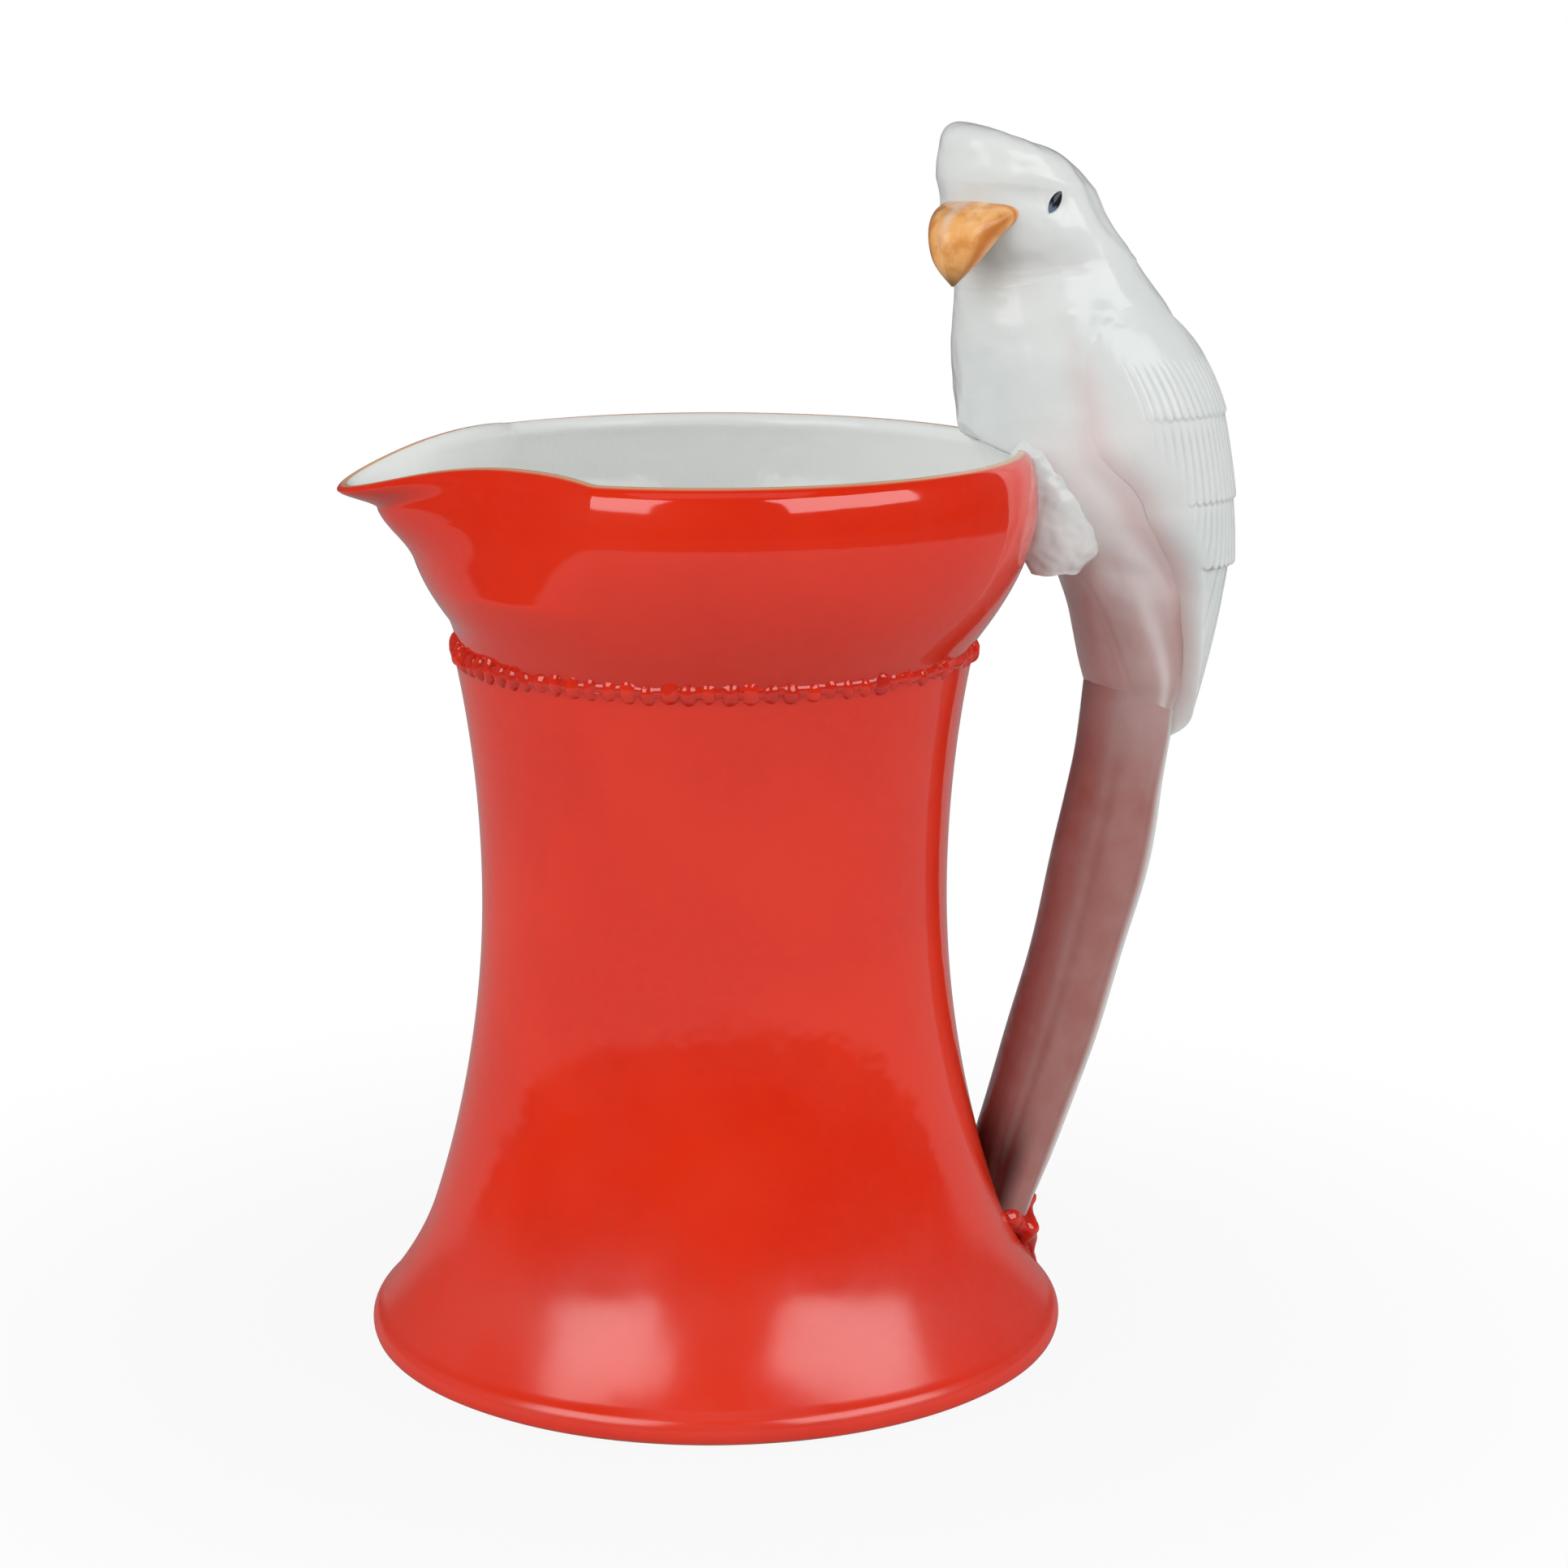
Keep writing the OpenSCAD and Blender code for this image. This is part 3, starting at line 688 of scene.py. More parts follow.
def make_bead_tree():
    floats = ["Ring radius", "Height", "Bead radius", "Cord radius", "Wander"]
    inputs = {"Bead count": "Int", "Seed": "Int", "Material": "Material", **dict.fromkeys(floats, "Float")}
    tree, given = node_tree("bead_row", inputs)
    ring_r, seed = given["Ring radius"], given["Seed"]

    def random_between(least, most):
        ends = {0: least, 1: most, "Seed": seed}
        return result_of(tree, "FunctionNodeRandomValue", ends, data_type="FLOAT_VECTOR")

    # Stores how much pooled glaze and painted shade darken the beads and the cord.
    def pooled(geometry, value, domain):
        stored = {"Geometry": geometry, "Name": "pooled", "Value": value}
        return result_of(tree, "GeometryNodeStoreNamedAttribute", stored, domain=domain)

    lift = result_of(tree, "ShaderNodeCombineXYZ", {"Z": given["Height"]})
    ring = result_of(tree, "GeometryNodeMeshCircle", {"Vertices": given["Bead count"], "Radius": ring_r})
    furthest = [
        result_of(tree, "ShaderNodeVectorMath", {0: way, "Scale": given["Wander"]}, operation="SCALE")
        for way in ((-1, -1, -1), (1, 1, 1))
    ]
    place = result_of(tree, "ShaderNodeVectorMath", {0: lift, 1: random_between(*furthest)})
    placed = result_of(tree, "GeometryNodeSetPosition", {"Geometry": ring, "Offset": place})
    ball = result_of(tree, "GeometryNodeMeshIcoSphere", {"Radius": given["Bead radius"], "Subdivisions": 3})
    size = random_between(BEAD_LEAST, BEAD_MOST)
    row = {"Points": placed, "Instance": ball, "Scale": size}
    depth = add_node(tree, "FunctionNodeRandomValue", {2: 0.0, 3: BEAD_POOLED_AND_SHADED, "Seed": seed}).outputs[1]
    beads = pooled(result_of(tree, "GeometryNodeInstanceOnPoints", row), depth, "INSTANCE")
    path = result_of(tree, "GeometryNodeCurvePrimitiveCircle", {"Resolution": 252, "Radius": ring_r})
    raised = result_of(tree, "GeometryNodeSetPosition", {"Geometry": path, "Offset": lift})
    round_section = {"Resolution": 10, "Radius": given["Cord radius"]}
    section = result_of(tree, "GeometryNodeCurvePrimitiveCircle", round_section)
    cord = pooled(result_of(tree, "GeometryNodeCurveToMesh", {0: raised, 1: section}), CORD_POOLED_AND_SHADED, "POINT")
    joined = add_node(tree, "GeometryNodeJoinGeometry")
    for part in (cord, beads):
        tree.links.new(part, joined.inputs[0])
    smooth = result_of(tree, "GeometryNodeSetShadeSmooth", {0: joined.outputs[0]})
    end_tree(tree, smooth, given["Material"])
    return tree


bead_row = make_bead_tree()
print("Tree", bead_row.name, "with", len(bead_row.nodes), "nodes")

# %% Beads
BEAD_COUNT = 84
BEAD_R = 1.1
CORD_R = 0.8 * BEAD_R
BEAD_SINK = 0.3
BEAD_RISE = 0.1
BEAD_WANDER = 0.25
BEAD_LUMPS = {"Unevenness": 0.6 * MM, "Patches per metre": 750.0, "Material": red_glaze}
beaded_band = bpy.data.objects.new("beaded_band", bpy.data.meshes.new("beaded_band"))
bpy.context.scene.collection.objects.link(beaded_band)
apply_tree(beaded_band, bead_row, {
    "Bead count": BEAD_COUNT,
    "Ring radius": (COLLAR_R - BEAD_SINK) * MM,
    "Height": (COLLAR_Z + BEAD_RISE) * MM,
    "Bead radius": BEAD_R * MM,
    "Cord radius": CORD_R * MM,
    "Wander": BEAD_WANDER * MM,
    "Seed": 7,
    "Material": red_glaze,
})
apply_tree(beaded_band, uneven_coat, {**BEAD_LUMPS, "Seed": 9.0})
finish_piece(beaded_band, red_glaze, "red_glaze", "beaded_band")

# %% [markdown]
# ## The bird's body
#
# The parakeet leans over the rim with its breast inside the bowl and its belly against the outside. It
# could be sculpted, but a modeller in clay thinks of it as a few cross-sections: neck, breast, belly, vent
# and rump. Those are the keys here, each with a front, a height, a depth, a width and a lean, and a spline
# runs through them. The wings use the same sections, so they lie close. Where the body would enter the
# jug's wall it is pressed out to it, the way soft clay is luted on.

# %% Sections of the body
RUMP_X = BOWL_R + 11.6
RUMP_Z = RIM_Z - 26.5
RUMP_LEAN = -20.0
TIP_D = 6.4
TIP_Z = RIM_Z - 30.5
SECTION_CURVE = 0.9
BIRD_KEYS = np.array([
    [RIM_R - 6.1, RIM_Z + 16.0, 18.0, 15.0, 8.0],
    [RIM_R - 6.1, RIM_Z + 7.0, 23.6, 20.0, 5.0],
    [BOWL_R - 4.0, RIM_Z - 5.5, 23.4, 20.4, 0.0],
    [BOWL_R + 4.0, RIM_Z - 15.0, 14.8, 15.0, -12.0],
    [RUMP_X - 4.7, RUMP_Z, 9.4, 10.4, RUMP_LEAN],
    [RUMP_X - TIP_D / 2, TIP_Z, TIP_D, 10.4, RUMP_LEAN],
])


def soft(value, power):
    return np.sign(value) * np.abs(value) ** power


def spline(keys, t):
    """A smooth curve through keys that are numbered 0, 1, 2 and so on."""
    keys, t = np.asarray(keys, float), np.asarray(t, float)
    last = len(keys) - 1
    i = np.clip(np.floor(t).astype(int), 0, last - 1)
    p0, p1, p2, p3 = (keys[np.clip(i + step, 0, last)] for step in (-1, 0, 1, 2))
    u = (t - i).reshape(t.shape + (1,) * (keys.ndim - 1))
    bend = 2 * p0 - 5 * p1 + 4 * p2 - p3
    return p1 + 0.5 * u * ((p2 - p0) + u * (bend + u * (3 * (p1 - p2) + p3 - p0)))


def section_points(keys, angle, grow=0.0):
    """Points round sections, one row each; angle 0 is the bird's front and 90 its left."""
    front, z, depth, width, lean = (keys[:, index : index + 1] for index in range(5))
    turn, lean = np.radians(angle), np.radians(lean)
    along = -(depth / 2 + grow) * soft(np.cos(turn), SECTION_CURVE)
    across = -(width / 2 + grow) * soft(np.sin(turn), SECTION_CURVE)
    return together(front + depth / 2 + along * np.cos(lean), across, z + along * np.sin(lean))


BIRD_SIDES = 192
bird_angles = np.linspace(-180, 180, BIRD_SIDES, endpoint=False)
print("Bird: breast", BIRD_KEYS[1, 3], "mm wide, rump", round(RUMP_X, 2), "mm from the axis")

# %% Fit to the jug and to the wings
SEAT_UP = [-1.0, -0.6, 0.3, 2.1, 4.1]
SEAT_R = [31.0, 28.5, 26.2, 24.6, 0.0]
SEAT_GAP = 0.1
WING_BACK = [125.0, 171.0, 174.0, 172.0, 166.0, 142.0]


def clear_of_jug(points):
    """Presses points that would lie inside the bowl's wall, or on its rim, out to it."""
    x, y, z = points[..., 0], points[..., 1], points[..., 2]
    radius = np.hypot(x, y)
    over_rim = np.interp(z, RIM_Z + np.array(SEAT_UP), SEAT_R)
    least = np.where(z < RIM_Z + SEAT_UP[0], bowl_profile(z) + SEAT_GAP, over_rim)
    share = np.maximum(radius, least) / radius
    return together(x * share, y * share, z)


def wing_front(t):
    """Angle of the wing's leading edge: down the breast, back behind the thigh, then in towards the tip."""
    upper = 81 + 11 * ramp(t, 1, 0) + 16 * ramp(t, 1.45, 2.05)
    return upper + 13 * ramp(t, 2.05, 3.05) + 34 * ramp(t, 2.95, 4.1)


print("Wings lie from", wing_front(1.0), "to", WING_BACK[1], "degrees at the breast")

# %% Form of the body
TUFTS = [(0.40, 84.0, 0.9), (0.45, 101.0, 1.0)]
TUFT_H = 0.3
VALLEY = 0.15
COVERT_H = 0.4
NECK_STEPS = [(0.985, 0.4), (0.93, 1.0)]
SKIRT_DROP = 1.2
body_t = np.linspace(4.0, 0.0, 220)
t = column_of(body_t)
side_angle = np.abs(bird_angles)
past_edge = side_angle - wing_front(t)
tufts = sum(
    bell(np.hypot((t - place) * 9, (side_angle - angle) * 0.14), width) for place, angle, width in TUFTS
)
valley = bell(past_edge + 2, 9) * ramp(t, 3.9, 3.2) * ramp(t, 0.5, 1.1)
covert_line = mix(26.0, 74.0, (t - 2.85) / 1.1)
covert = ramp(t, 2.75, 3.1) * ramp(t, 4.0, 3.6)
outside_line = ramp(side_angle, covert_line - 8, covert_line + 10)
body_grow = TUFT_H * tufts - VALLEY * valley + COVERT_H * covert * outside_line - 0.25 * ramp(t, 3.7, 4.0)
body_grid = clear_of_jug(section_points(spline(BIRD_KEYS, body_t), bird_angles, body_grow))


def tucked_in(ring, way_up):
    """Two rows that carry a neck ring on inside the piece that it meets."""
    middle = ring.mean(0)
    return np.array([middle + (ring - middle) * share + [0, 0, way_up * up] for share, up in NECK_STEPS])


skirt = np.radians(np.linspace(80, 0, 8))[:-1]
skirt_mid = body_grid[0].mean(0)
skirt_rows = skirt_mid + (body_grid[0] - skirt_mid) * np.cos(skirt)[:, None, None]
skirt_rows[..., 2] -= SKIRT_DROP * np.sin(skirt)[:, None]
print("Body of", len(body_t), "rows, with", len(skirt), "under the rump and", len(NECK_STEPS), "in the neck")

# %% Body
MAUVE_Z = (79.0, 69.0)
PALE_Z = (80.0, 74.0)
STRIPE_Z = (92.0, 82.0)
ROSE_Z = (92.0, 74.0)
WING_ROSE_Z = (103.0, 95.0)
SIDE_FADE = (150.0, 122.0)
HAND_PRESSED = {"Unevenness": 0.42 * MM, "Patches per metre": 280.0, "Seed": 2.0, "Material": porcelain}


def with_skirt(mask):
    """A mask of the body's rows with its end rows repeated for the skirt and the tucked rows."""
    mask = np.broadcast_to(mask, body_grid.shape[:2])
    return np.concatenate([np.repeat(mask[:1], len(skirt), 0), mask, mask[-2:]])


body_z = body_grid[..., 2]
# A painted highlight along the covert crease, where the mauve gives way to white.
crease_highlight = covert * bell(side_angle - covert_line, 5)
pale_streak = bell(past_edge + 27, 7) * ramp(body_z, *PALE_Z)
# The mauve is weaker on the bird's front-facing side: a painted lift of light against the shade that falls
# there.
under_rump = mix(0.40, 0.64, ramp(side_angle, 25, 65)) * ramp(body_z, *MAUVE_Z) * ramp(side_angle, *SIDE_FADE)
under_rump = under_rump * (1 - 0.5 * crease_highlight) * (1 - 0.65 * pale_streak)
stripe = 0.30 * bell(past_edge + 6, 6) * ramp(body_z, *STRIPE_Z)
along_wing = bell(past_edge + 1, mix(5.0, 10.0, ramp(body_z, 96, 84))) * ramp(body_z, *WING_ROSE_Z)
body = make_piece(
    "bird_body",
    np.concatenate([skirt_rows, body_grid, tucked_in(body_grid[-1], 1)]),
    close_ends=True,
    blush=with_skirt(np.maximum(under_rump, stripe)),
    rose=with_skirt(0.32 * along_wing + 0.42 * ramp(body_z, *ROSE_Z) * ramp(side_angle, 150, 110)),
    # Pooled glaze and painted shade grey the crease along the wing's edge.
    pooled=with_skirt(0.12 * bell(past_edge + 1, 4) * ramp(body_z, 102, 96)),
)
apply_tree(body, uneven_coat, HAND_PRESSED)
finish_piece(body, porcelain, "porcelain", "bird_body")

# %% [markdown]
# ## The bird's head
#
# The head is turned to the bird's left, towards the viewer. It has a flat crown that rises towards the
# brow, a narrow face, full cheeks, a fine seam behind the cheek, and a straight nape that runs down into
# the back. A ball with a stretched neck would show where the two meet. So the head starts as the neck's own
# ring and changes, ring by ring, into an oval that points where the bird looks; small pushes along the
# radius make brow, cheeks, throat, seam and eye sockets, and the crown is tilted last.

# %% Places on the head
HEAD_L = 15.8
HEAD_W = 13.0
HEAD_TURN = 44.0
HEAD_MID = np.array([RIM_R - 1.0, 0.0, RIM_Z + 24.2])
FORWARD = np.array([-math.cos(math.radians(HEAD_TURN)), -math.sin(math.radians(HEAD_TURN)), 0.0])
LEFT = np.array([-FORWARD[1], FORWARD[0], 0.0])
UP = np.array([0.0, 0.0, 1.0])


def head_place(forward, left, up):
    """Places by their distance forward, left and up from the middle of the head."""
    ways = ((forward, FORWARD), (left, LEFT), (up, UP))
    return HEAD_MID + sum(np.asarray(distance, float)[..., None] * way for distance, way in ways)


def head_r(angle):
    """Radius of the head's oval at an angle from the bird's front."""
    away = np.radians(angle - HEAD_TURN)
    length, width = HEAD_L / 2, HEAD_W / 2
    return length * width / np.hypot(width * np.cos(away), length * np.sin(away))


def angle_from(angle):
    """How far each column of the bird lies from an angle, in degrees."""
    return np.abs((bird_angles - angle + 180) % 360 - 180)


def seam_line(away, u, width):
    """The seam behind the cheek, by the angle from where the bird looks and the height."""
    return bell(away - 104, width) * ramp(u, -6, -2) * ramp(u, 4.0, 2.0)


def head_push(away, u):
    """How far the face stands out from the plain oval, by the same angle and height."""
    brow = 0.22 * bell(u - 1.2, 0.9) * ramp(away, 125, 80)
    face = -0.10 * bell(u + 0.2, 1.1) * ramp(away, 85, 50)
    cheek = 0.26 * bell(u + 3.6, 2.0) * bell(away - 70, 34)
    socket = -0.22 * bell(np.hypot((away - 65) * 0.11, u + 0.9), 1.2)
    throat = -0.7 * bell(u + 7.2, 1.7) * ramp(away, 75, 25)
    return brow + face + cheek + socket + throat - 0.14 * seam_line(away, u, 6)


print("Head", HEAD_L, "by", HEAD_W, "mm, turned", HEAD_TURN, "degrees")

# %% Neck and crown
CROWN_H = 5.3
CROWN_CURVE = 4.6
NAPE_SLOPE = 0.44
NAPE_OUT = 2.2
FACE_U = 1.0
NAPE_U = -1.5
bird_way = together(-np.cos(np.radians(bird_angles)), -np.sin(np.radians(bird_angles)), 0)
back = ramp(side_angle, 80, 165)
equator_u = mix(FACE_U, NAPE_U, back)
equator_r = head_r(bird_angles) + NAPE_OUT * back
neck_ring, below_neck = body_grid[-1], body_grid[-7]
oval = HEAD_MID + equator_r[:, None] * bird_way + equator_u[:, None] * UP
climb = (oval - neck_ring)[:, 2:]
leave = (neck_ring - below_neck) / (neck_ring - below_neck)[:, 2:] * climb
arrive = bird_way * climb * -NAPE_SLOPE * back[:, None]
q = np.linspace(0, 1, 64)[:, None, None]
neck_rows = (
    (2 * q**3 - 3 * q**2 + 1) * neck_ring
    + (q**3 - 2 * q**2 + q) * leave
    + (3 * q**2 - 2 * q**3) * oval
    + (q**3 - q**2) * arrive
)
neck_rows[..., 2] = mix(neck_ring[:, 2], oval[:, 2], q[..., 0])
dome = column_of(np.linspace(0, math.pi / 2, 52)[1:])
dome_scale = np.maximum(np.cos(dome), 1e-9) ** (2 / CROWN_CURVE)
dome_rise = (CROWN_H - equator_u) * np.sin(dome) ** (2 / CROWN_CURVE)
dome_r = dome_scale * (equator_r - NAPE_SLOPE * back * dome_rise)
dome_rows = HEAD_MID + dome_r[..., None] * bird_way
dome_rows[..., 2] += equator_u + dome_rise
print("Neck of", len(neck_rows), "rows under a crown of", len(dome_rows))

# %% Head
CROWN_SLOPE = math.tan(math.radians(17.0))
CROWN_TURN = -5.0
head_grid = np.concatenate([neck_rows, dome_rows])
head_u = head_grid[..., 2] - HEAD_MID[2]
away = angle_from(HEAD_TURN)
fade = np.concatenate([ramp(q[:, 0], 0, 0.15), dome_scale])
head_grid = head_grid + (head_push(away, head_u) * fade)[..., None] * bird_way
from_mid = np.linalg.norm(head_grid[..., :2] - HEAD_MID[:2], axis=-1)
tilt = np.cos(np.radians(bird_angles - CROWN_TURN)) * CROWN_SLOPE
head_grid[..., 2] += from_mid * tilt * np.maximum(0, head_u / CROWN_H)
tucked_rows = tucked_in(neck_ring, -1)[::-1]
# Painted shade under the beak: the chin is greyed and made a little rosier.
chin_shade = bell(head_u + 6.8, 1.8) * ramp(away, 95, 40)
bare_rows = ((len(tucked_rows), 0), (0, 0))
head = make_piece(
    "bird_head",
    np.concatenate([tucked_rows, head_grid]),
    close_ends=True,
    # Pooled glaze and painted shade grey the chin and the seam behind the cheek.
    pooled=np.pad(0.2 * chin_shade + 0.4 * seam_line(away, head_u, 5), bare_rows),
    rose=np.pad(0.10 * chin_shade, bare_rows),
)
apply_tree(head, uneven_coat, HAND_PRESSED)
finish_piece(head, porcelain, "porcelain", "bird_head")

# %% [markdown]
# ## Beak
#
# The beak was brushed with ochre enamel, unevenly, with a darker tip and a dark line where the brush met
# the face. A cone would be too straight: the section follows keys that bend down from the face to a point.
# Its points carry two masks, how far along the beak and how far round it they are, and the enamel's strokes
# follow those rather than the room. Two more masks hold the dark lines, and the places that the brush
# missed together with a painted highlight, a pale streak along the ridge.

# %% Beak enamel
OCHRE = (0.69, 0.33, 0.102)
OCHRE_PALE = (0.72, 0.44, 0.21)
OCHRE_DARK = (0.44, 0.135, 0.02)
BEAK_BROWN = (0.20, 0.105, 0.04)
STROKES_ROUND = 3.2


def make_beak_enamel():
    material, tree, shader = new_material("ochre_enamel")
    along = mask_of(tree, "along")
    around = combine(tree, "MULTIPLY", mask_of(tree, "around"), STROKES_ROUND)
    strokes = result_of(tree, "ShaderNodeCombineXYZ", {"X": around, "Y": along})
    brush = noise(tree, scale=1.7, detail=4.0, vector=strokes)
    specks = noise(tree, scale=560.0, detail=4.0)
    colour = paint(tree, spread(tree, brush, 0.45, 0.70, 0.0, 0.8), OCHRE, OCHRE_PALE)
    colour = paint(tree, spread(tree, specks, 0.46, 0.66, 0.0, 0.5), colour, OCHRE_DARK)
    colour = paint(tree, mask_of(tree, "outline"), colour, OCHRE_DARK)
    colour = paint(tree, spread(tree, along, 0.80, 0.96, 0.0, 0.9), colour, BEAK_BROWN)
    # Bare white where the brush missed, and a painted highlight along the ridge.
    colour = paint(tree, mask_of(tree, "bare"), colour, WHITE_CLAY)
    tree.links.new(colour, shader.inputs["Base Color"])
    shader.inputs["Roughness"].default_value = 0.16
    ripple(tree, shader, scale=500.0, height=0.06 * MM)
    return material


beak_enamel = make_beak_enamel()
print("Made", beak_enamel.name)

# %% Beak
BEAK_W = 8.8
BEAK_H = 8.0
BEAK_OUT = 3.6
BEAK_DROP = 8.6
BEAK_KEYS = [
    [-BEAK_H / 4, -0.18 * BEAK_H, 1.0, 0],
    [0.25 * BEAK_OUT, -0.27 * BEAK_H, 0.95, 20],
    [0.85 * BEAK_OUT, -0.45 * BEAK_DROP, 0.76, 48],
    [1.15 * BEAK_OUT, -0.75 * BEAK_DROP, 0.47, 75],
    [1.20 * BEAK_OUT, -BEAK_DROP, 0.03, 90],
]
BEAK_TOP = 0.36
BEAK_UNDER = 0.60
BEAK_SIDES = 72
face_f = HEAD_L / 2 - BEAK_H / 5
beak_t = np.linspace(0, 4, 80)
t = column_of(beak_t)
beak_f, beak_u, beak_share, beak_pitch = (value[:, None] for value in spline(BEAK_KEYS, beak_t).T)
beak_angle = np.linspace(-180, 180, BEAK_SIDES, endpoint=False)
around = np.radians(beak_angle)
low_top = mix(BEAK_TOP, 1.0, ramp(t, 0.8, 2.8))
low_under = mix(BEAK_UNDER, 1.0, ramp(t, 0.5, 2.5))
flat = np.where(np.cos(around) > 0, low_top, low_under)
culmen = 1 + 0.10 * bell(beak_angle, 20) * ramp(t, 0.4, 1.4)
wide = beak_share * BEAK_W / 2 * np.sin(around)
tall = beak_share * BEAK_H / 2 * np.cos(around) * culmen * flat
pitch = np.radians(beak_pitch)
root_line = 0.8 * bell(t - 0.72, 0.10)
notch = bell(t - 0.75, 0.25) * bell(beak_angle - 25, 16)
mouth = (0.9 * bell(beak_angle + 84, 20) + 0.6 * bell(beak_angle - 58, 16)) * ramp(t, 0.6, 1.3)
# A painted highlight: a pale streak along the ridge of the beak.
ridge_highlight = bell(beak_angle - 3, 9) * ramp(t, 0.75, 1.0) * ramp(t, 3.0, 1.9)
beak = make_piece(
    "beak",
    head_place(face_f + beak_f + tall * np.sin(pitch), -wide, beak_u + tall * np.cos(pitch)),
    close_ends=True,
    along=t / 4,
    around=beak_angle / 180,
    outline=np.maximum(root_line, mouth),
    bare=np.maximum(0.6 * notch, 0.4 * ridge_highlight),
)
finish_piece(beak, beak_enamel, "beak_enamel", "beak")

# %% [markdown]
# ## Eyes
#
# Each eye is a drop of black enamel laid slantwise in its socket, with a ring of bare white round it; a
# bluish sheen at its lower end is painted on, a painted reflection. A painted dot would lie flat and miss the
# small highlight. So a shallow lens with a slanted almond outline lies in the head's side, where the head's
# own points give its place and slope; the rim of the lens takes the white.

# %% Eye enamel
EYE_BLACK = (0.010, 0.011, 0.016)
# Painted reflection: a bluish sheen on the black enamel.
EYE_SHEEN_BLUE = (0.10, 0.13, 0.19)


def make_eye_enamel():
    material, tree, shader = new_material("black_enamel")
    # The lower end takes the painted bluish sheen.
    colour = paint(tree, mask_of(tree, "low_end"), EYE_BLACK, EYE_SHEEN_BLUE)
    colour = paint(tree, mask_of(tree, "rim"), colour, WHITE_CLAY)
    # Flecks of the painted sheen over the whole eye.
    colour = paint(tree, spread(tree, noise(tree, scale=900.0), 0.5, 0.8, 0.0, 0.1), colour, EYE_SHEEN_BLUE)
    tree.links.new(colour, shader.inputs["Base Color"])
    shader.inputs["Roughness"].default_value = 0.06
    return material


eye_enamel = make_eye_enamel()
print("Made", eye_enamel.name)

# %% Where the eyes lie
EYE_AWAY = {1: 63.5, -1: 69.0}
EYE_U = -0.8


def on_head(angle, u):
    """Place and outward normal of the head's surface at an angle from the bird's front and a height."""
    nearest = np.argmin(angle_from(angle) + 40 * np.abs(head_u - u))
    row, col = np.unravel_index(nearest, head_u.shape)
    up_way = head_grid[row + 2, col] - head_grid[row - 2, col]
    round_way = head_grid[row, (col + 2) % BIRD_SIDES] - head_grid[row, col - 2]
    normal = unit(np.cross(up_way, round_way))
    return head_grid[row, col], normal * np.sign(normal @ bird_way[col])


print("Eyes", EYE_AWAY[1], "and", EYE_AWAY[-1], "degrees from where the bird looks")

# %% Eyes
EYE_LONG = 1.65
EYE_WIDE = 0.72
EYE_SLANT = math.radians(-33.0)
EYE_EDGE = 0.08
EYE_BULGE = 0.26
EYE_SUNK = 0.4


def both_faces(mask):
    """A mask of the lens's outside, repeated for its inside in the order of its rows."""
    return np.concatenate([mask, mask[::-1]])


def make_eye(name, side):
    """A slanted almond lens on the left (side 1) or right (side -1) of the head."""
    angle = np.linspace(0, 2 * np.pi, 48, endpoint=False)
    share = np.linspace(0, 1, 20)[:, None]
    long = EYE_LONG * share * np.cos(angle)
    wide = EYE_WIDE * share * soft(np.sin(angle), 1.5)
    front = long * math.sin(EYE_SLANT) + wide * math.cos(EYE_SLANT)
    up = long * math.cos(EYE_SLANT) - wide * math.sin(EYE_SLANT)
    bulge = (EYE_EDGE + EYE_BULGE * (1 - share**2))[..., None]
    middle, normal = on_head(HEAD_TURN + side * EYE_AWAY[side], EYE_U)
    across = unit(np.cross(UP, normal)) * -side
    rise = np.cross(normal, across) * -side
    flat = middle + front[..., None] * across + up[..., None] * rise
    inside = flat - (bulge + EYE_SUNK) * normal
    piece = make_piece(
        name,
        np.concatenate([flat + bulge * normal, inside[::-1]]),
        rim=both_faces(ramp(share, 0.72, 0.80)),
        # The painted sheen lies at the lens's lower end.
        low_end=both_faces(ramp(-np.cos(angle), 0.2, 0.7) * ramp(share, 0.25, 0.5)),
    )
    print(name, "at", np.round(middle, 1), "mm, rising along", np.round(rise, 2))
    finish_piece(piece, eye_enamel, "eye_enamel", name)


make_eye("left_eye", 1)
make_eye("right_eye", -1)

# %% [markdown]
# ## Wings
#
# The wings are folded over the back down to the rump. Their front third is smooth; behind it the feathers
# were cut into the mould in rows that overlap like roof tiles, each row ending in small scallops, with fine
# grooves between one feather and the next. Below the last row the long flight feathers run to the tip. A
# bump in the material would vanish at the outline, so the relief is a height added to the wing's surface,
# and it catches light and shade as the real one does.

# %% Feather relief
TIER_TOP = 98.0
TIER_ENDS = [92.0, 83.6, 77.0]
TILE_STEPS = [0.24, 0.28, 0.50]
FIRST_ROW_UP = 10.0
FEATHER_W = 0.95
QUILL_W = 1.7
QUILL_DOWN = 0.1
GROOVE = 0.16
SCALLOP = 0.4
TILE_EDGE = 0.08


def feather_cell(across, width, shift=0.0):
    """Place within a feather: 0 along its middle, 1 along its edges."""
    cell = across / width + shift
    return np.abs(2 * (cell - np.floor(cell)) - 1)


def above_edge(z, edge):
    """1 above the edge of a feather row and 0 below it, with a narrow slope between."""
    return ramp(z, edge - TILE_EDGE, edge + TILE_EDGE)


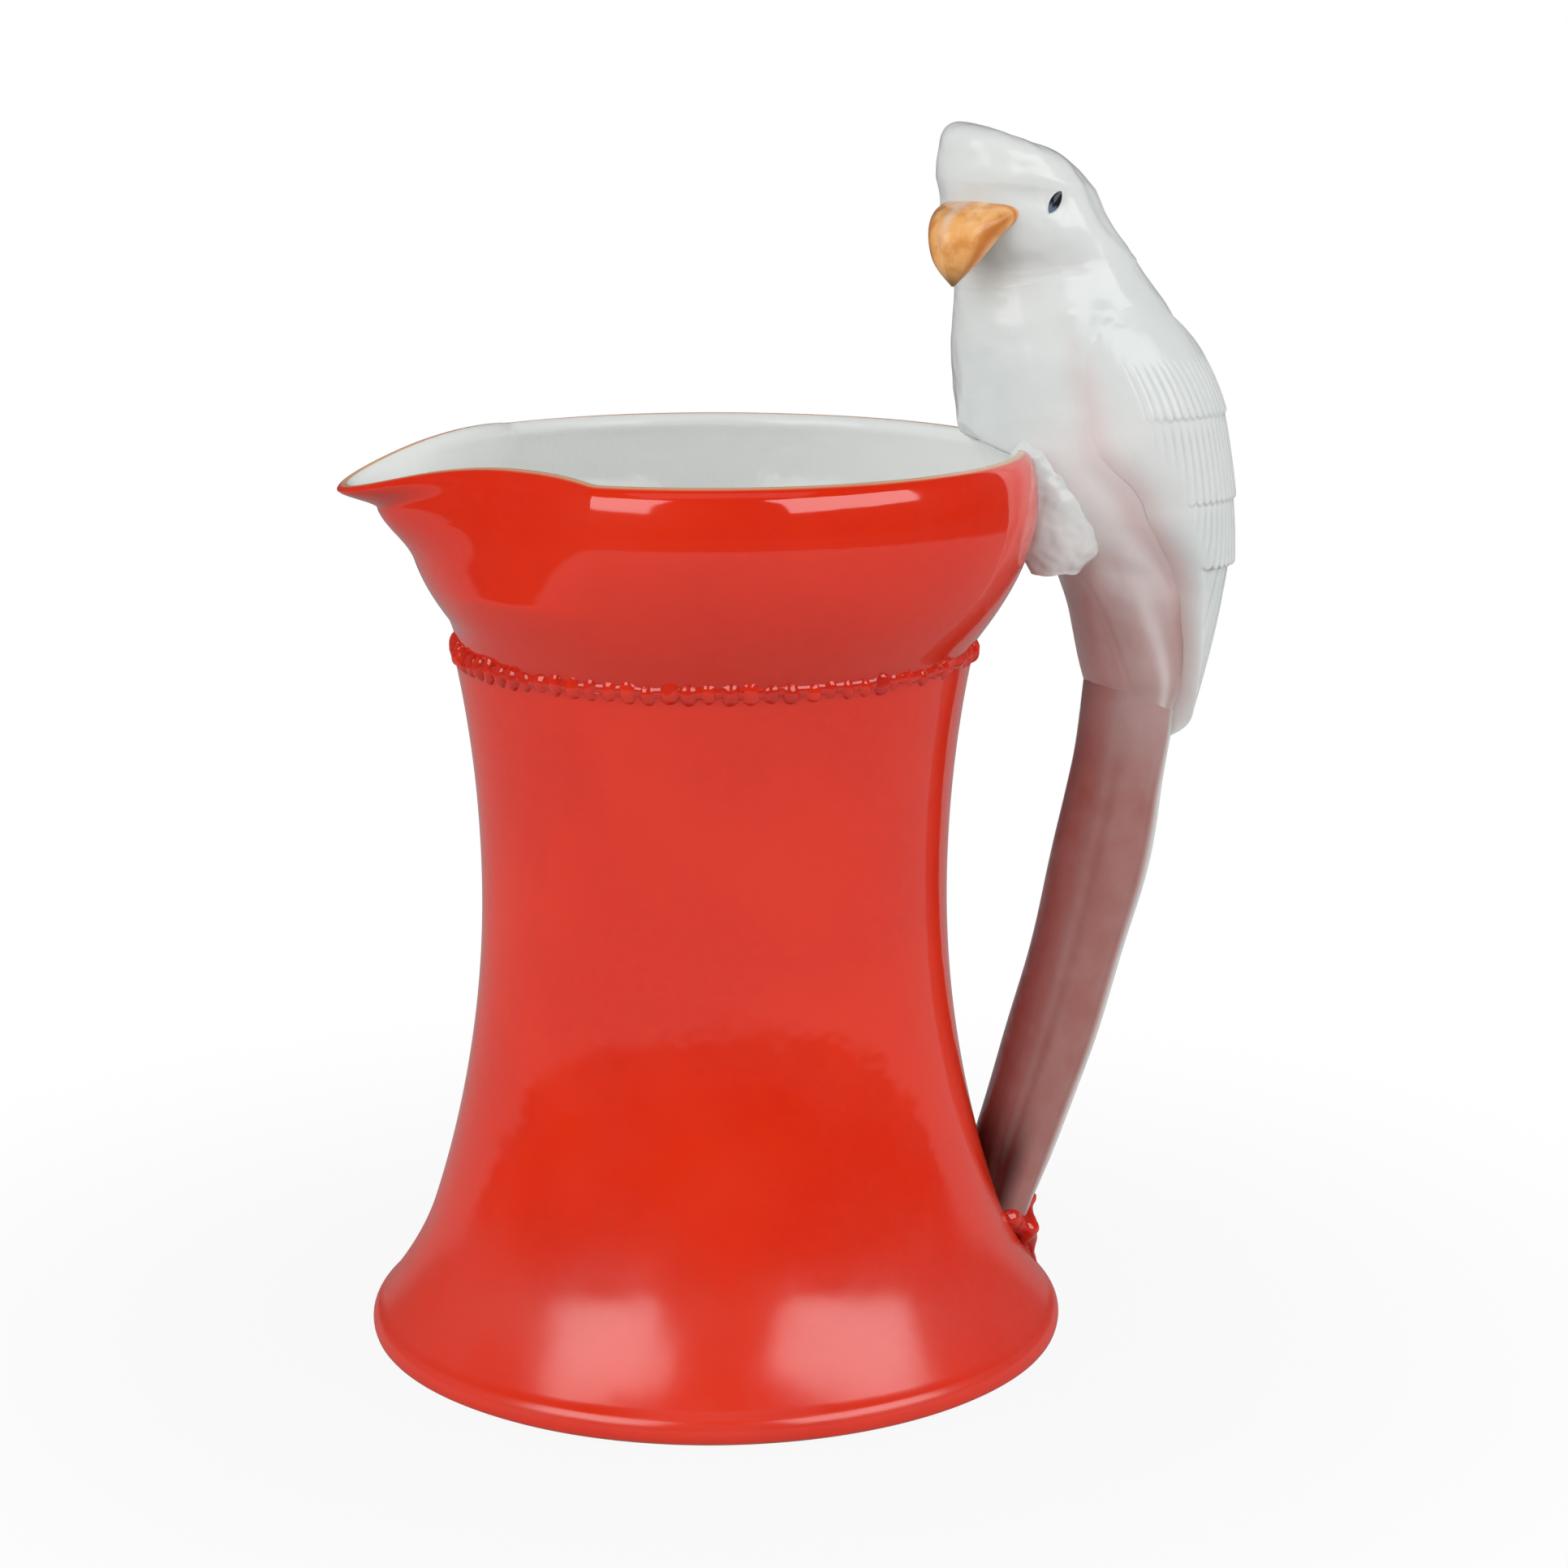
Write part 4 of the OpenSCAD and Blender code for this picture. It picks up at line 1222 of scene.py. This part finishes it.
def feather_relief(z, across):
    """Height of the cut feathers by the height on the bird and the distance across the wing."""
    relief = np.zeros_like(z)
    top, upper = TIER_TOP, TIER_TOP + FIRST_ROW_UP
    for index, (end, step) in enumerate(zip(TIER_ENDS, TILE_STEPS)):
        place = feather_cell(across, FEATHER_W, 0.5 * index)
        tip = end - SCALLOP * (1 - place**2)
        here = above_edge(z, tip) * (1 - above_edge(z, upper))
        rise = np.clip((top - z) / (top - end), 0, 1)
        groove = -GROOVE * bell(1 - place, 0.30) * ramp(rise, 0.0, 0.3)
        relief = relief + here * (step * rise**1.5 + groove)
        top, upper = end, tip
    quill = feather_cell(across, QUILL_W)
    return relief + (1 - above_edge(z, upper)) * (-GROOVE * bell(1 - quill, 0.18) - QUILL_DOWN)


print("Feather rows end at", TIER_ENDS, "mm above the table")

# %% Across the wing
WING_T = 1.7
SLIP_FILM = 0.2
BACK_COLS = 20


def from_back(keys, angle):
    """Distance round the bird from the middle of its back, so that feathers run down it side by side."""
    fan = np.linspace(180, 60, 121)
    points = section_points(keys, fan, SLIP_FILM + WING_T)
    steps = np.linalg.norm(np.diff(points, axis=1), axis=-1)
    far = np.concatenate([np.zeros((len(keys), 1)), np.cumsum(steps, axis=1)], axis=1)
    return np.stack([np.interp(180 - row, 180 - fan, lengths) for row, lengths in zip(angle, far)])


def with_inner(mask):
    """A mask of the wing's outer face, with none of it on the inner face."""
    return np.pad(mask, ((0, 0), (0, BACK_COLS)))


print("Wings stand", round(SLIP_FILM + WING_T, 2), "mm out from the body")

# %% Wings
WING_SINK = -0.25
WING_INNER = -0.7
WING_START = 0.25
WING_END = 4.5
WING_TIP = 150.0
TIP_DRAW = 0.96
WING_ROWS = 300
WING_COLS = 260


def make_wing(name, side):
    t = column_of(np.linspace(WING_START, WING_END, WING_ROWS))
    keys = spline(BIRD_KEYS, t[:, 0])
    share = np.linspace(0, 1, WING_COLS)
    to_tip = TIP_DRAW * ramp(t, 3.6, WING_END)
    first = mix(wing_front(t), WING_TIP, to_tip)
    last = mix(spline(WING_BACK, t[:, 0])[:, None], WING_TIP, to_tip)
    angle = mix(first, last, share)
    softness = mix(0.40, 0.20, ramp(t, 0.9, 2.8))
    rounded = np.sqrt(ramp(share, -0.01, softness) * ramp(1 - share, -0.01, 0.06))
    body_of_wing = ramp(t, WING_START - 0.1, 1.5) * ramp(t, WING_END + 0.1, 3.9) * rounded
    height = mix(WING_SINK, SLIP_FILM + WING_T, body_of_wing)
    plain_z = section_points(keys, angle, height)[..., 2]
    cut = ramp(share, 0.14, 0.34) * ramp(share, 1.0, 0.97) * ramp(t, 0.75, 1.15) * ramp(t, WING_END, 4.1)
    relief = feather_relief(plain_z, from_back(keys, angle)) * cut
    outer = section_points(keys, angle, height + relief)
    inner = section_points(keys, mix(first, last, np.linspace(1, 0, BACK_COLS)), WING_INNER)
    grid = clear_of_jug(np.concatenate([outer, inner], axis=1))
    grid[..., 1] *= side
    edge = bell(share - 0.02, 0.06) * ramp(plain_z, *WING_ROSE_Z)
    wing = make_piece(
        name,
        grid,
        close_ends=True,
        # Pooled glaze and painted shade darken the cut grooves.
        pooled=with_inner(0.45 * np.clip(-relief / GROOVE, 0, 1)),
        rose=with_inner(0.38 * edge),
        blush=with_inner(0.12 * edge * ramp(plain_z, 80, 64)),
    )
    finish_piece(wing, porcelain, "porcelain", name)


make_wing("left_wing", 1)
make_wing("right_wing", -1)

# %% [markdown]
# ## Legs
#
# Feathered thighs lean on the outside of the bowl, and the toes grip the rim. They were modelled roughly,
# in small dabs of clay. A metaball could run such dabs together, but it would not hug the bowl. So each leg
# is a short loft that follows the bowl's wall up to the rim, and the tree of the uneven coat gives it its
# lumps.

# %% Legs
LEG_D = 5.6
LEG_GAP = 14.6
LEG_DOWN = 12.3
LEG_OUT = 4.4
LEG_DEEP = 1.35
LEG_BROAD = 0.9
TOE_UP = 1.1
TOE_SPREAD = 0.20
LEG_SWELL = [0.66, 1.0, 1.06, 1.05, 1.0, 0.92, 0.80, 0.55]
LEG_LUMPS = {"Unevenness": 0.7 * MM, "Patches per metre": 580.0, "Material": porcelain}


def make_leg(name, side):
    t = column_of(np.linspace(0, 1, 90))
    z = mix(RIM_Z - LEG_DOWN, RIM_Z + TOE_UP, t)
    bowl_x = np.sqrt(bowl_profile(np.minimum(z, RIM_Z - 1)) ** 2 - (LEG_GAP / 2) ** 2)
    angle = np.radians(np.linspace(0, 360, 80, endpoint=False))
    toes = (1 + TOE_SPREAD * np.cos(3 * angle) * ramp(t, 0.7, 0.9)) * np.sqrt(ramp(t, 1.02, 0.88))
    radius = LEG_D / 2 * spline(LEG_SWELL, t[:, 0] * (len(LEG_SWELL) - 1))[:, None] * toes
    grid = together(
        bowl_x + mix(LEG_OUT, 0, t) + LEG_DEEP * radius * np.cos(angle),
        side * -(LEG_GAP / 2 + LEG_BROAD * radius * np.sin(angle)),
        z,
    )
    # Painted shade: the whole leg is greyed a little and its lower end made rosier.
    leg = make_piece(name, clear_of_jug(grid), close_ends=True, pooled=0.2, rose=0.25 * ramp(t, 0.6, 0.1))
    apply_tree(leg, uneven_coat, {**LEG_LUMPS, "Seed": 3.0 + side})
    finish_piece(leg, porcelain, "porcelain", name)


make_leg("left_leg", 1)
make_leg("right_leg", -1)

# %% [markdown]
# ## Tail
#
# The tail is the handle. It starts inside the body, a little wider at the rump, follows one bowed curve
# down to the foot and thins towards it. Shallow grooves and a ridge mark the long feathers, and the grooves
# are painted darker as shade. Mauve covers its front and sides and ends rather sharply before the back edge,
# which stays white. A slip stain darkened with painted shade fills the crevice at the foot, and the tail's
# end is painted darker as shade where it meets the slip. A bevelled curve object would give a tube; here
# sections like the body's are swept along a curve of four points, as in the CAD model, so each can also
# change its depth and carry masks.

# %% Line of the tail
TAIL_D = 8.8
TAIL_W = 9.0
TAIL_END_Z = 9.5
TAIL_BOW = 4.6
TAIL_INSIDE = 0.08
TAIL_THIN = 0.80
FOOT_LEAN = -25.0
rump = np.array([RUMP_X, RUMP_Z])
tail_foot = np.array([float(column_r(TAIL_END_Z)) + GLAZE_T, TAIL_END_Z])
span = RUMP_Z - TAIL_END_Z
tail_way = np.array([math.tan(math.radians(RUMP_LEAN)) / 4, -1]) * span / 3
tail_points = np.array([rump, rump + tail_way, tail_foot + [TAIL_BOW, span / 3], tail_foot])
tail_t = np.linspace(-TAIL_INSIDE, 1, 236)
t = column_of(tail_t)
weights = [(1 - t) ** 3, 3 * t * (1 - t) ** 2, 3 * t**2 * (1 - t), t**3]
tail_line = sum(weight * point for weight, point in zip(weights, tail_points))
at_rump = ramp(tail_t, 0.16, 0.0)
full_depth = TAIL_D * (1 + 0.12 * bell(tail_t - 0.28, 0.15)) + 0.5 * at_rump
tail_keys = np.stack([
    tail_line[:, 0] - full_depth / 2,
    tail_line[:, 1],
    full_depth * mix(1.0, TAIL_THIN, ramp(tail_t, 0.6, 1.05)),
    TAIL_W + 1.3 * at_rump,
    mix(RUMP_LEAN, FOOT_LEAN, tail_t),
], axis=1)
print("Tail runs down", round(span, 1), "mm to the foot")

# %% Tail
TAIL_COLS = 120
WAVER = 0.04
tail_angle = np.linspace(-180, 180, TAIL_COLS, endpoint=False)
tail_side = np.abs(tail_angle)
grooves = -0.16 * bell(tail_side - 66, 8) - 0.20 * bell(tail_side - 126, 6)
ridge = 0.22 * bell(tail_side - 146, 9)
tail_grow = (grooves + ridge) * ramp(t, 0.02, 0.2) * ramp(t, 1.0, 0.85)
tail_grow = tail_grow + WAVER * np.sin(t * 23 + tail_angle * 0.05)
tail = make_piece(
    "tail",
    section_points(tail_keys, tail_angle, tail_grow),
    close_ends=True,
    blush=ramp(tail_side, 148, 128) * mix(0.80, 1.0, ramp(t, 0.0, 0.2)),
    # Slip stain and painted shade in the crevice at the foot; painted shade in the grooves and at the tail's
    # end.
    stain=ramp(t, 0.76, 0.91) * ramp(tail_side, 106, 74),
    pooled=0.4 * np.clip(-grooves, 0, 1) + 0.6 * ramp(t, 0.93, 1.0),
)
finish_piece(tail, porcelain, "porcelain", "tail")

# %% [markdown]
# ## The slip at the tail's end
#
# Where the tail meets the foot, a lumpy cushion of slip holds it, and the red glaze has covered that. A
# plain ball would sit on the foot like a bead. This cushion is draped down the foot's flare: its middle
# follows the column's own radius, two waves run round it, and the tree of the uneven coat adds the smaller
# lumps. The glaze is deeper in its hollows, and painted darker there as shade.

# %% Tail joint
SLIP_OUT = 3.7
SLIP_WIDE = 4.4
SLIP_FROM = 2.8
SLIP_TO = 12.2
rise = column_of(np.linspace(0, 1, 70))
turn = np.radians(np.linspace(0, 360, 96, endpoint=False))
lumps = 0.12 * np.sin(3 * turn + 9 * rise) + 0.08 * np.sin(5 * turn - 14 * rise + 1)
slip = ramp(rise, -0.05, 0.75) * np.sqrt(ramp(rise, 1.02, 0.8)) * (1 + lumps)
slip_z = mix(SLIP_FROM, SLIP_TO, rise)
slip_x = column_r(slip_z) + GLAZE_T + SLIP_OUT * slip * np.cos(turn)
tail_joint = make_piece(
    "tail_joint",
    together(slip_x, SLIP_WIDE * slip * np.sin(turn), slip_z),
    close_ends=True,
    # Deeper glaze and painted shade in the hollows between the waves.
    pooled=np.clip(0.6 - 3 * lumps, 0.2, 1.0),
)
apply_tree(tail_joint, uneven_coat, {**LEG_LUMPS, "Material": red_glaze, "Seed": 5.0})
finish_piece(tail_joint, red_glaze, "red_glaze", "tail_joint")

# %% [markdown]
# ## Floor and background
#
# The photograph has a plain white ground, but the glaze mirrors a room that is dark beyond its lamps. A
# white backdrop all round would veil the red. So the floor is a pale matt table that ends a third of a
# metre away, with dark floor beyond, and for the camera it gives way to plain white with distance: only the
# soft shadow near the foot is left of it. The table is paler for the soft light that it throws back than
# for reflections.

# %% Floor
FLOOR_SIZE = 6.0
NEAR_WHITE = 0.92
TABLE_WHITE = (0.34, 0.34, 0.34)
TABLE_BOUNCE = (0.62, 0.62, 0.62)
ROOM_DARK = (0.10, 0.10, 0.10)
TABLE_EDGE = 0.34
EDGE_SOFT = 0.08
SHADOW_FROM = 0.04
SHADOW_TO = 0.13


def seen_directly(tree, rays):
    """1 for what the camera sees, straight or through something clear."""
    return combine(tree, "MAXIMUM", rays["Is Camera Ray"], rays["Is Transmission Ray"])


def make_floor_material():
    material, tree, shader = new_material("floor_white")
    shader.inputs["Roughness"].default_value = 0.9
    shader.inputs["Specular IOR Level"].default_value = 0.0
    place = add_node(tree, "ShaderNodeTexCoord").outputs["Object"]
    distance = add_node(tree, "ShaderNodeVectorMath", {0: place}, operation="LENGTH").outputs["Value"]
    beyond = spread(tree, distance, TABLE_EDGE, TABLE_EDGE + EDGE_SOFT)
    far = spread(tree, distance, SHADOW_FROM, SHADOW_TO, NEAR_WHITE, 1.0)
    rays = add_node(tree, "ShaderNodeLightPath").outputs
    table = paint(tree, rays["Is Diffuse Ray"], TABLE_WHITE, TABLE_BOUNCE)
    tree.links.new(paint(tree, beyond, table, ROOM_DARK), shader.inputs["Base Color"])
    white = result_of(tree, "ShaderNodeEmission", {"Color": (1, 1, 1, 1), "Strength": 1.0})
    share = combine(tree, "MULTIPLY", far, seen_directly(tree, rays))
    mixed = result_of(tree, "ShaderNodeMixShader", {0: share, 1: shader.outputs[0], 2: white})
    tree.links.new(mixed, tree.nodes["Material Output"].inputs["Surface"])
    return material


half = FLOOR_SIZE / 2
floor_corners = [(-half, -half, 0), (half, -half, 0), (half, half, 0), (-half, half, 0)]
floor_mesh = bpy.data.meshes.new("floor")
floor_mesh.from_pydata(floor_corners, [], [(0, 1, 2, 3)])
floor_mesh.materials.append(make_floor_material())
floor = bpy.data.objects.new("floor", floor_mesh)
bpy.context.scene.collection.objects.link(floor)
print("Floor", FLOOR_SIZE, "m wide, its table", 2 * TABLE_EDGE, "m across")

# %% [markdown]
# ### Background
#
# The background is white for what the camera sees and dim for what the glaze mirrors, a little less dim
# from behind. What falls on matt clay is a soft fill, stronger from the sides and weak from the top, as in
# a light tent with an open roof. One world does all three, because it can tell the kinds of rays apart.

# %% Background
FILL_FRONT = 1.40
FILL_SIDES = 2.7
FILL_TOP = 0.15
FRONT_MIRRORED = 0.06
BACK_MIRRORED = 0.10


def make_world():
    world = bpy.data.worlds.new("studio")
    world.use_nodes = True
    tree = world.node_tree
    tree.nodes.clear()
    place = add_node(tree, "ShaderNodeTexCoord").outputs["Generated"]
    parts = add_node(tree, "ShaderNodeSeparateXYZ", {0: place}).outputs
    sideways = result_of(tree, "ShaderNodeMath", {0: parts["X"]}, operation="ABSOLUTE")
    low_light = spread(tree, parts["Z"], 0.2, 0.8, 1.0, FILL_TOP)
    fill = combine(tree, "MULTIPLY", spread(tree, sideways, 0.35, 0.95, FILL_FRONT, FILL_SIDES), low_light)
    mirrored = spread(tree, parts["Y"], 0.1, 0.5, FRONT_MIRRORED, BACK_MIRRORED)
    rays = add_node(tree, "ShaderNodeLightPath").outputs
    strength = result_of(tree, "ShaderNodeMix", {0: rays["Is Glossy Ray"], 2: fill, 3: mirrored})
    strength = result_of(tree, "ShaderNodeMix", {0: seen_directly(tree, rays), 2: strength, 3: 1.0})
    backing = result_of(tree, "ShaderNodeBackground", {"Color": (1, 1, 1, 1), "Strength": strength})
    tree.links.new(backing, add_node(tree, "ShaderNodeOutputWorld").inputs["Surface"])
    return world


bpy.context.scene.world = make_world()
print("Background made")

# %% [markdown]
# ## Studio lights
#
# Two large soft boxes stand left and right of the camera. Their mirror images are the pale pink patches on
# the bowl and on the foot, with a dark strip between them where the camera stands. A third, weak and high
# in front, lifts the tops of things. Point lamps would show as hard dots in the glaze, so all three are
# areas.

# %% Studio lights
def soft_box(name, azimuth, elevation, distance, width, height, power, aim=(0, 0, 0.06)):
    """An area lamp at an angle seen from the jug, azimuth 0 towards the viewer, turned to face it."""
    light = bpy.data.lights.new(name, "AREA")
    light.shape = "RECTANGLE"
    light.size = width
    light.size_y = height
    light.energy = power
    lamp = bpy.data.objects.new(name, light)
    turn, rise = math.radians(azimuth), math.radians(elevation)
    way = Vector((math.sin(turn) * math.cos(rise), -math.cos(turn) * math.cos(rise), math.sin(rise)))
    lamp.location = Vector(aim) + way * distance
    lamp.rotation_euler = way.to_track_quat("Z", "Y").to_euler()
    bpy.context.scene.collection.objects.link(lamp)
    print(name, "at", [round(v, 2) for v in lamp.location])


CAMERA_AZIMUTH = -12.0
BOX_RISE = 30.0
soft_box("left_box", CAMERA_AZIMUTH - 43, BOX_RISE, distance=1.0, width=0.74, height=0.52, power=2.85)
soft_box("right_box", CAMERA_AZIMUTH + 52, BOX_RISE, distance=1.0, width=0.91, height=0.52, power=3.6)
soft_box("top_box", CAMERA_AZIMUTH + 5, elevation=66, distance=1.1, width=0.9, height=0.5, power=0.4)

# %% [markdown]
# ## Update the scene
#
# The visual model has to keep to the box of the CAD model. Most of the visual model's sizes repeat the CAD
# model's, but relief, lumps and finer forms differ a little. The scene is brought up to date once all pieces
# are made.

# %% Update the scene
bpy.context.view_layer.update()
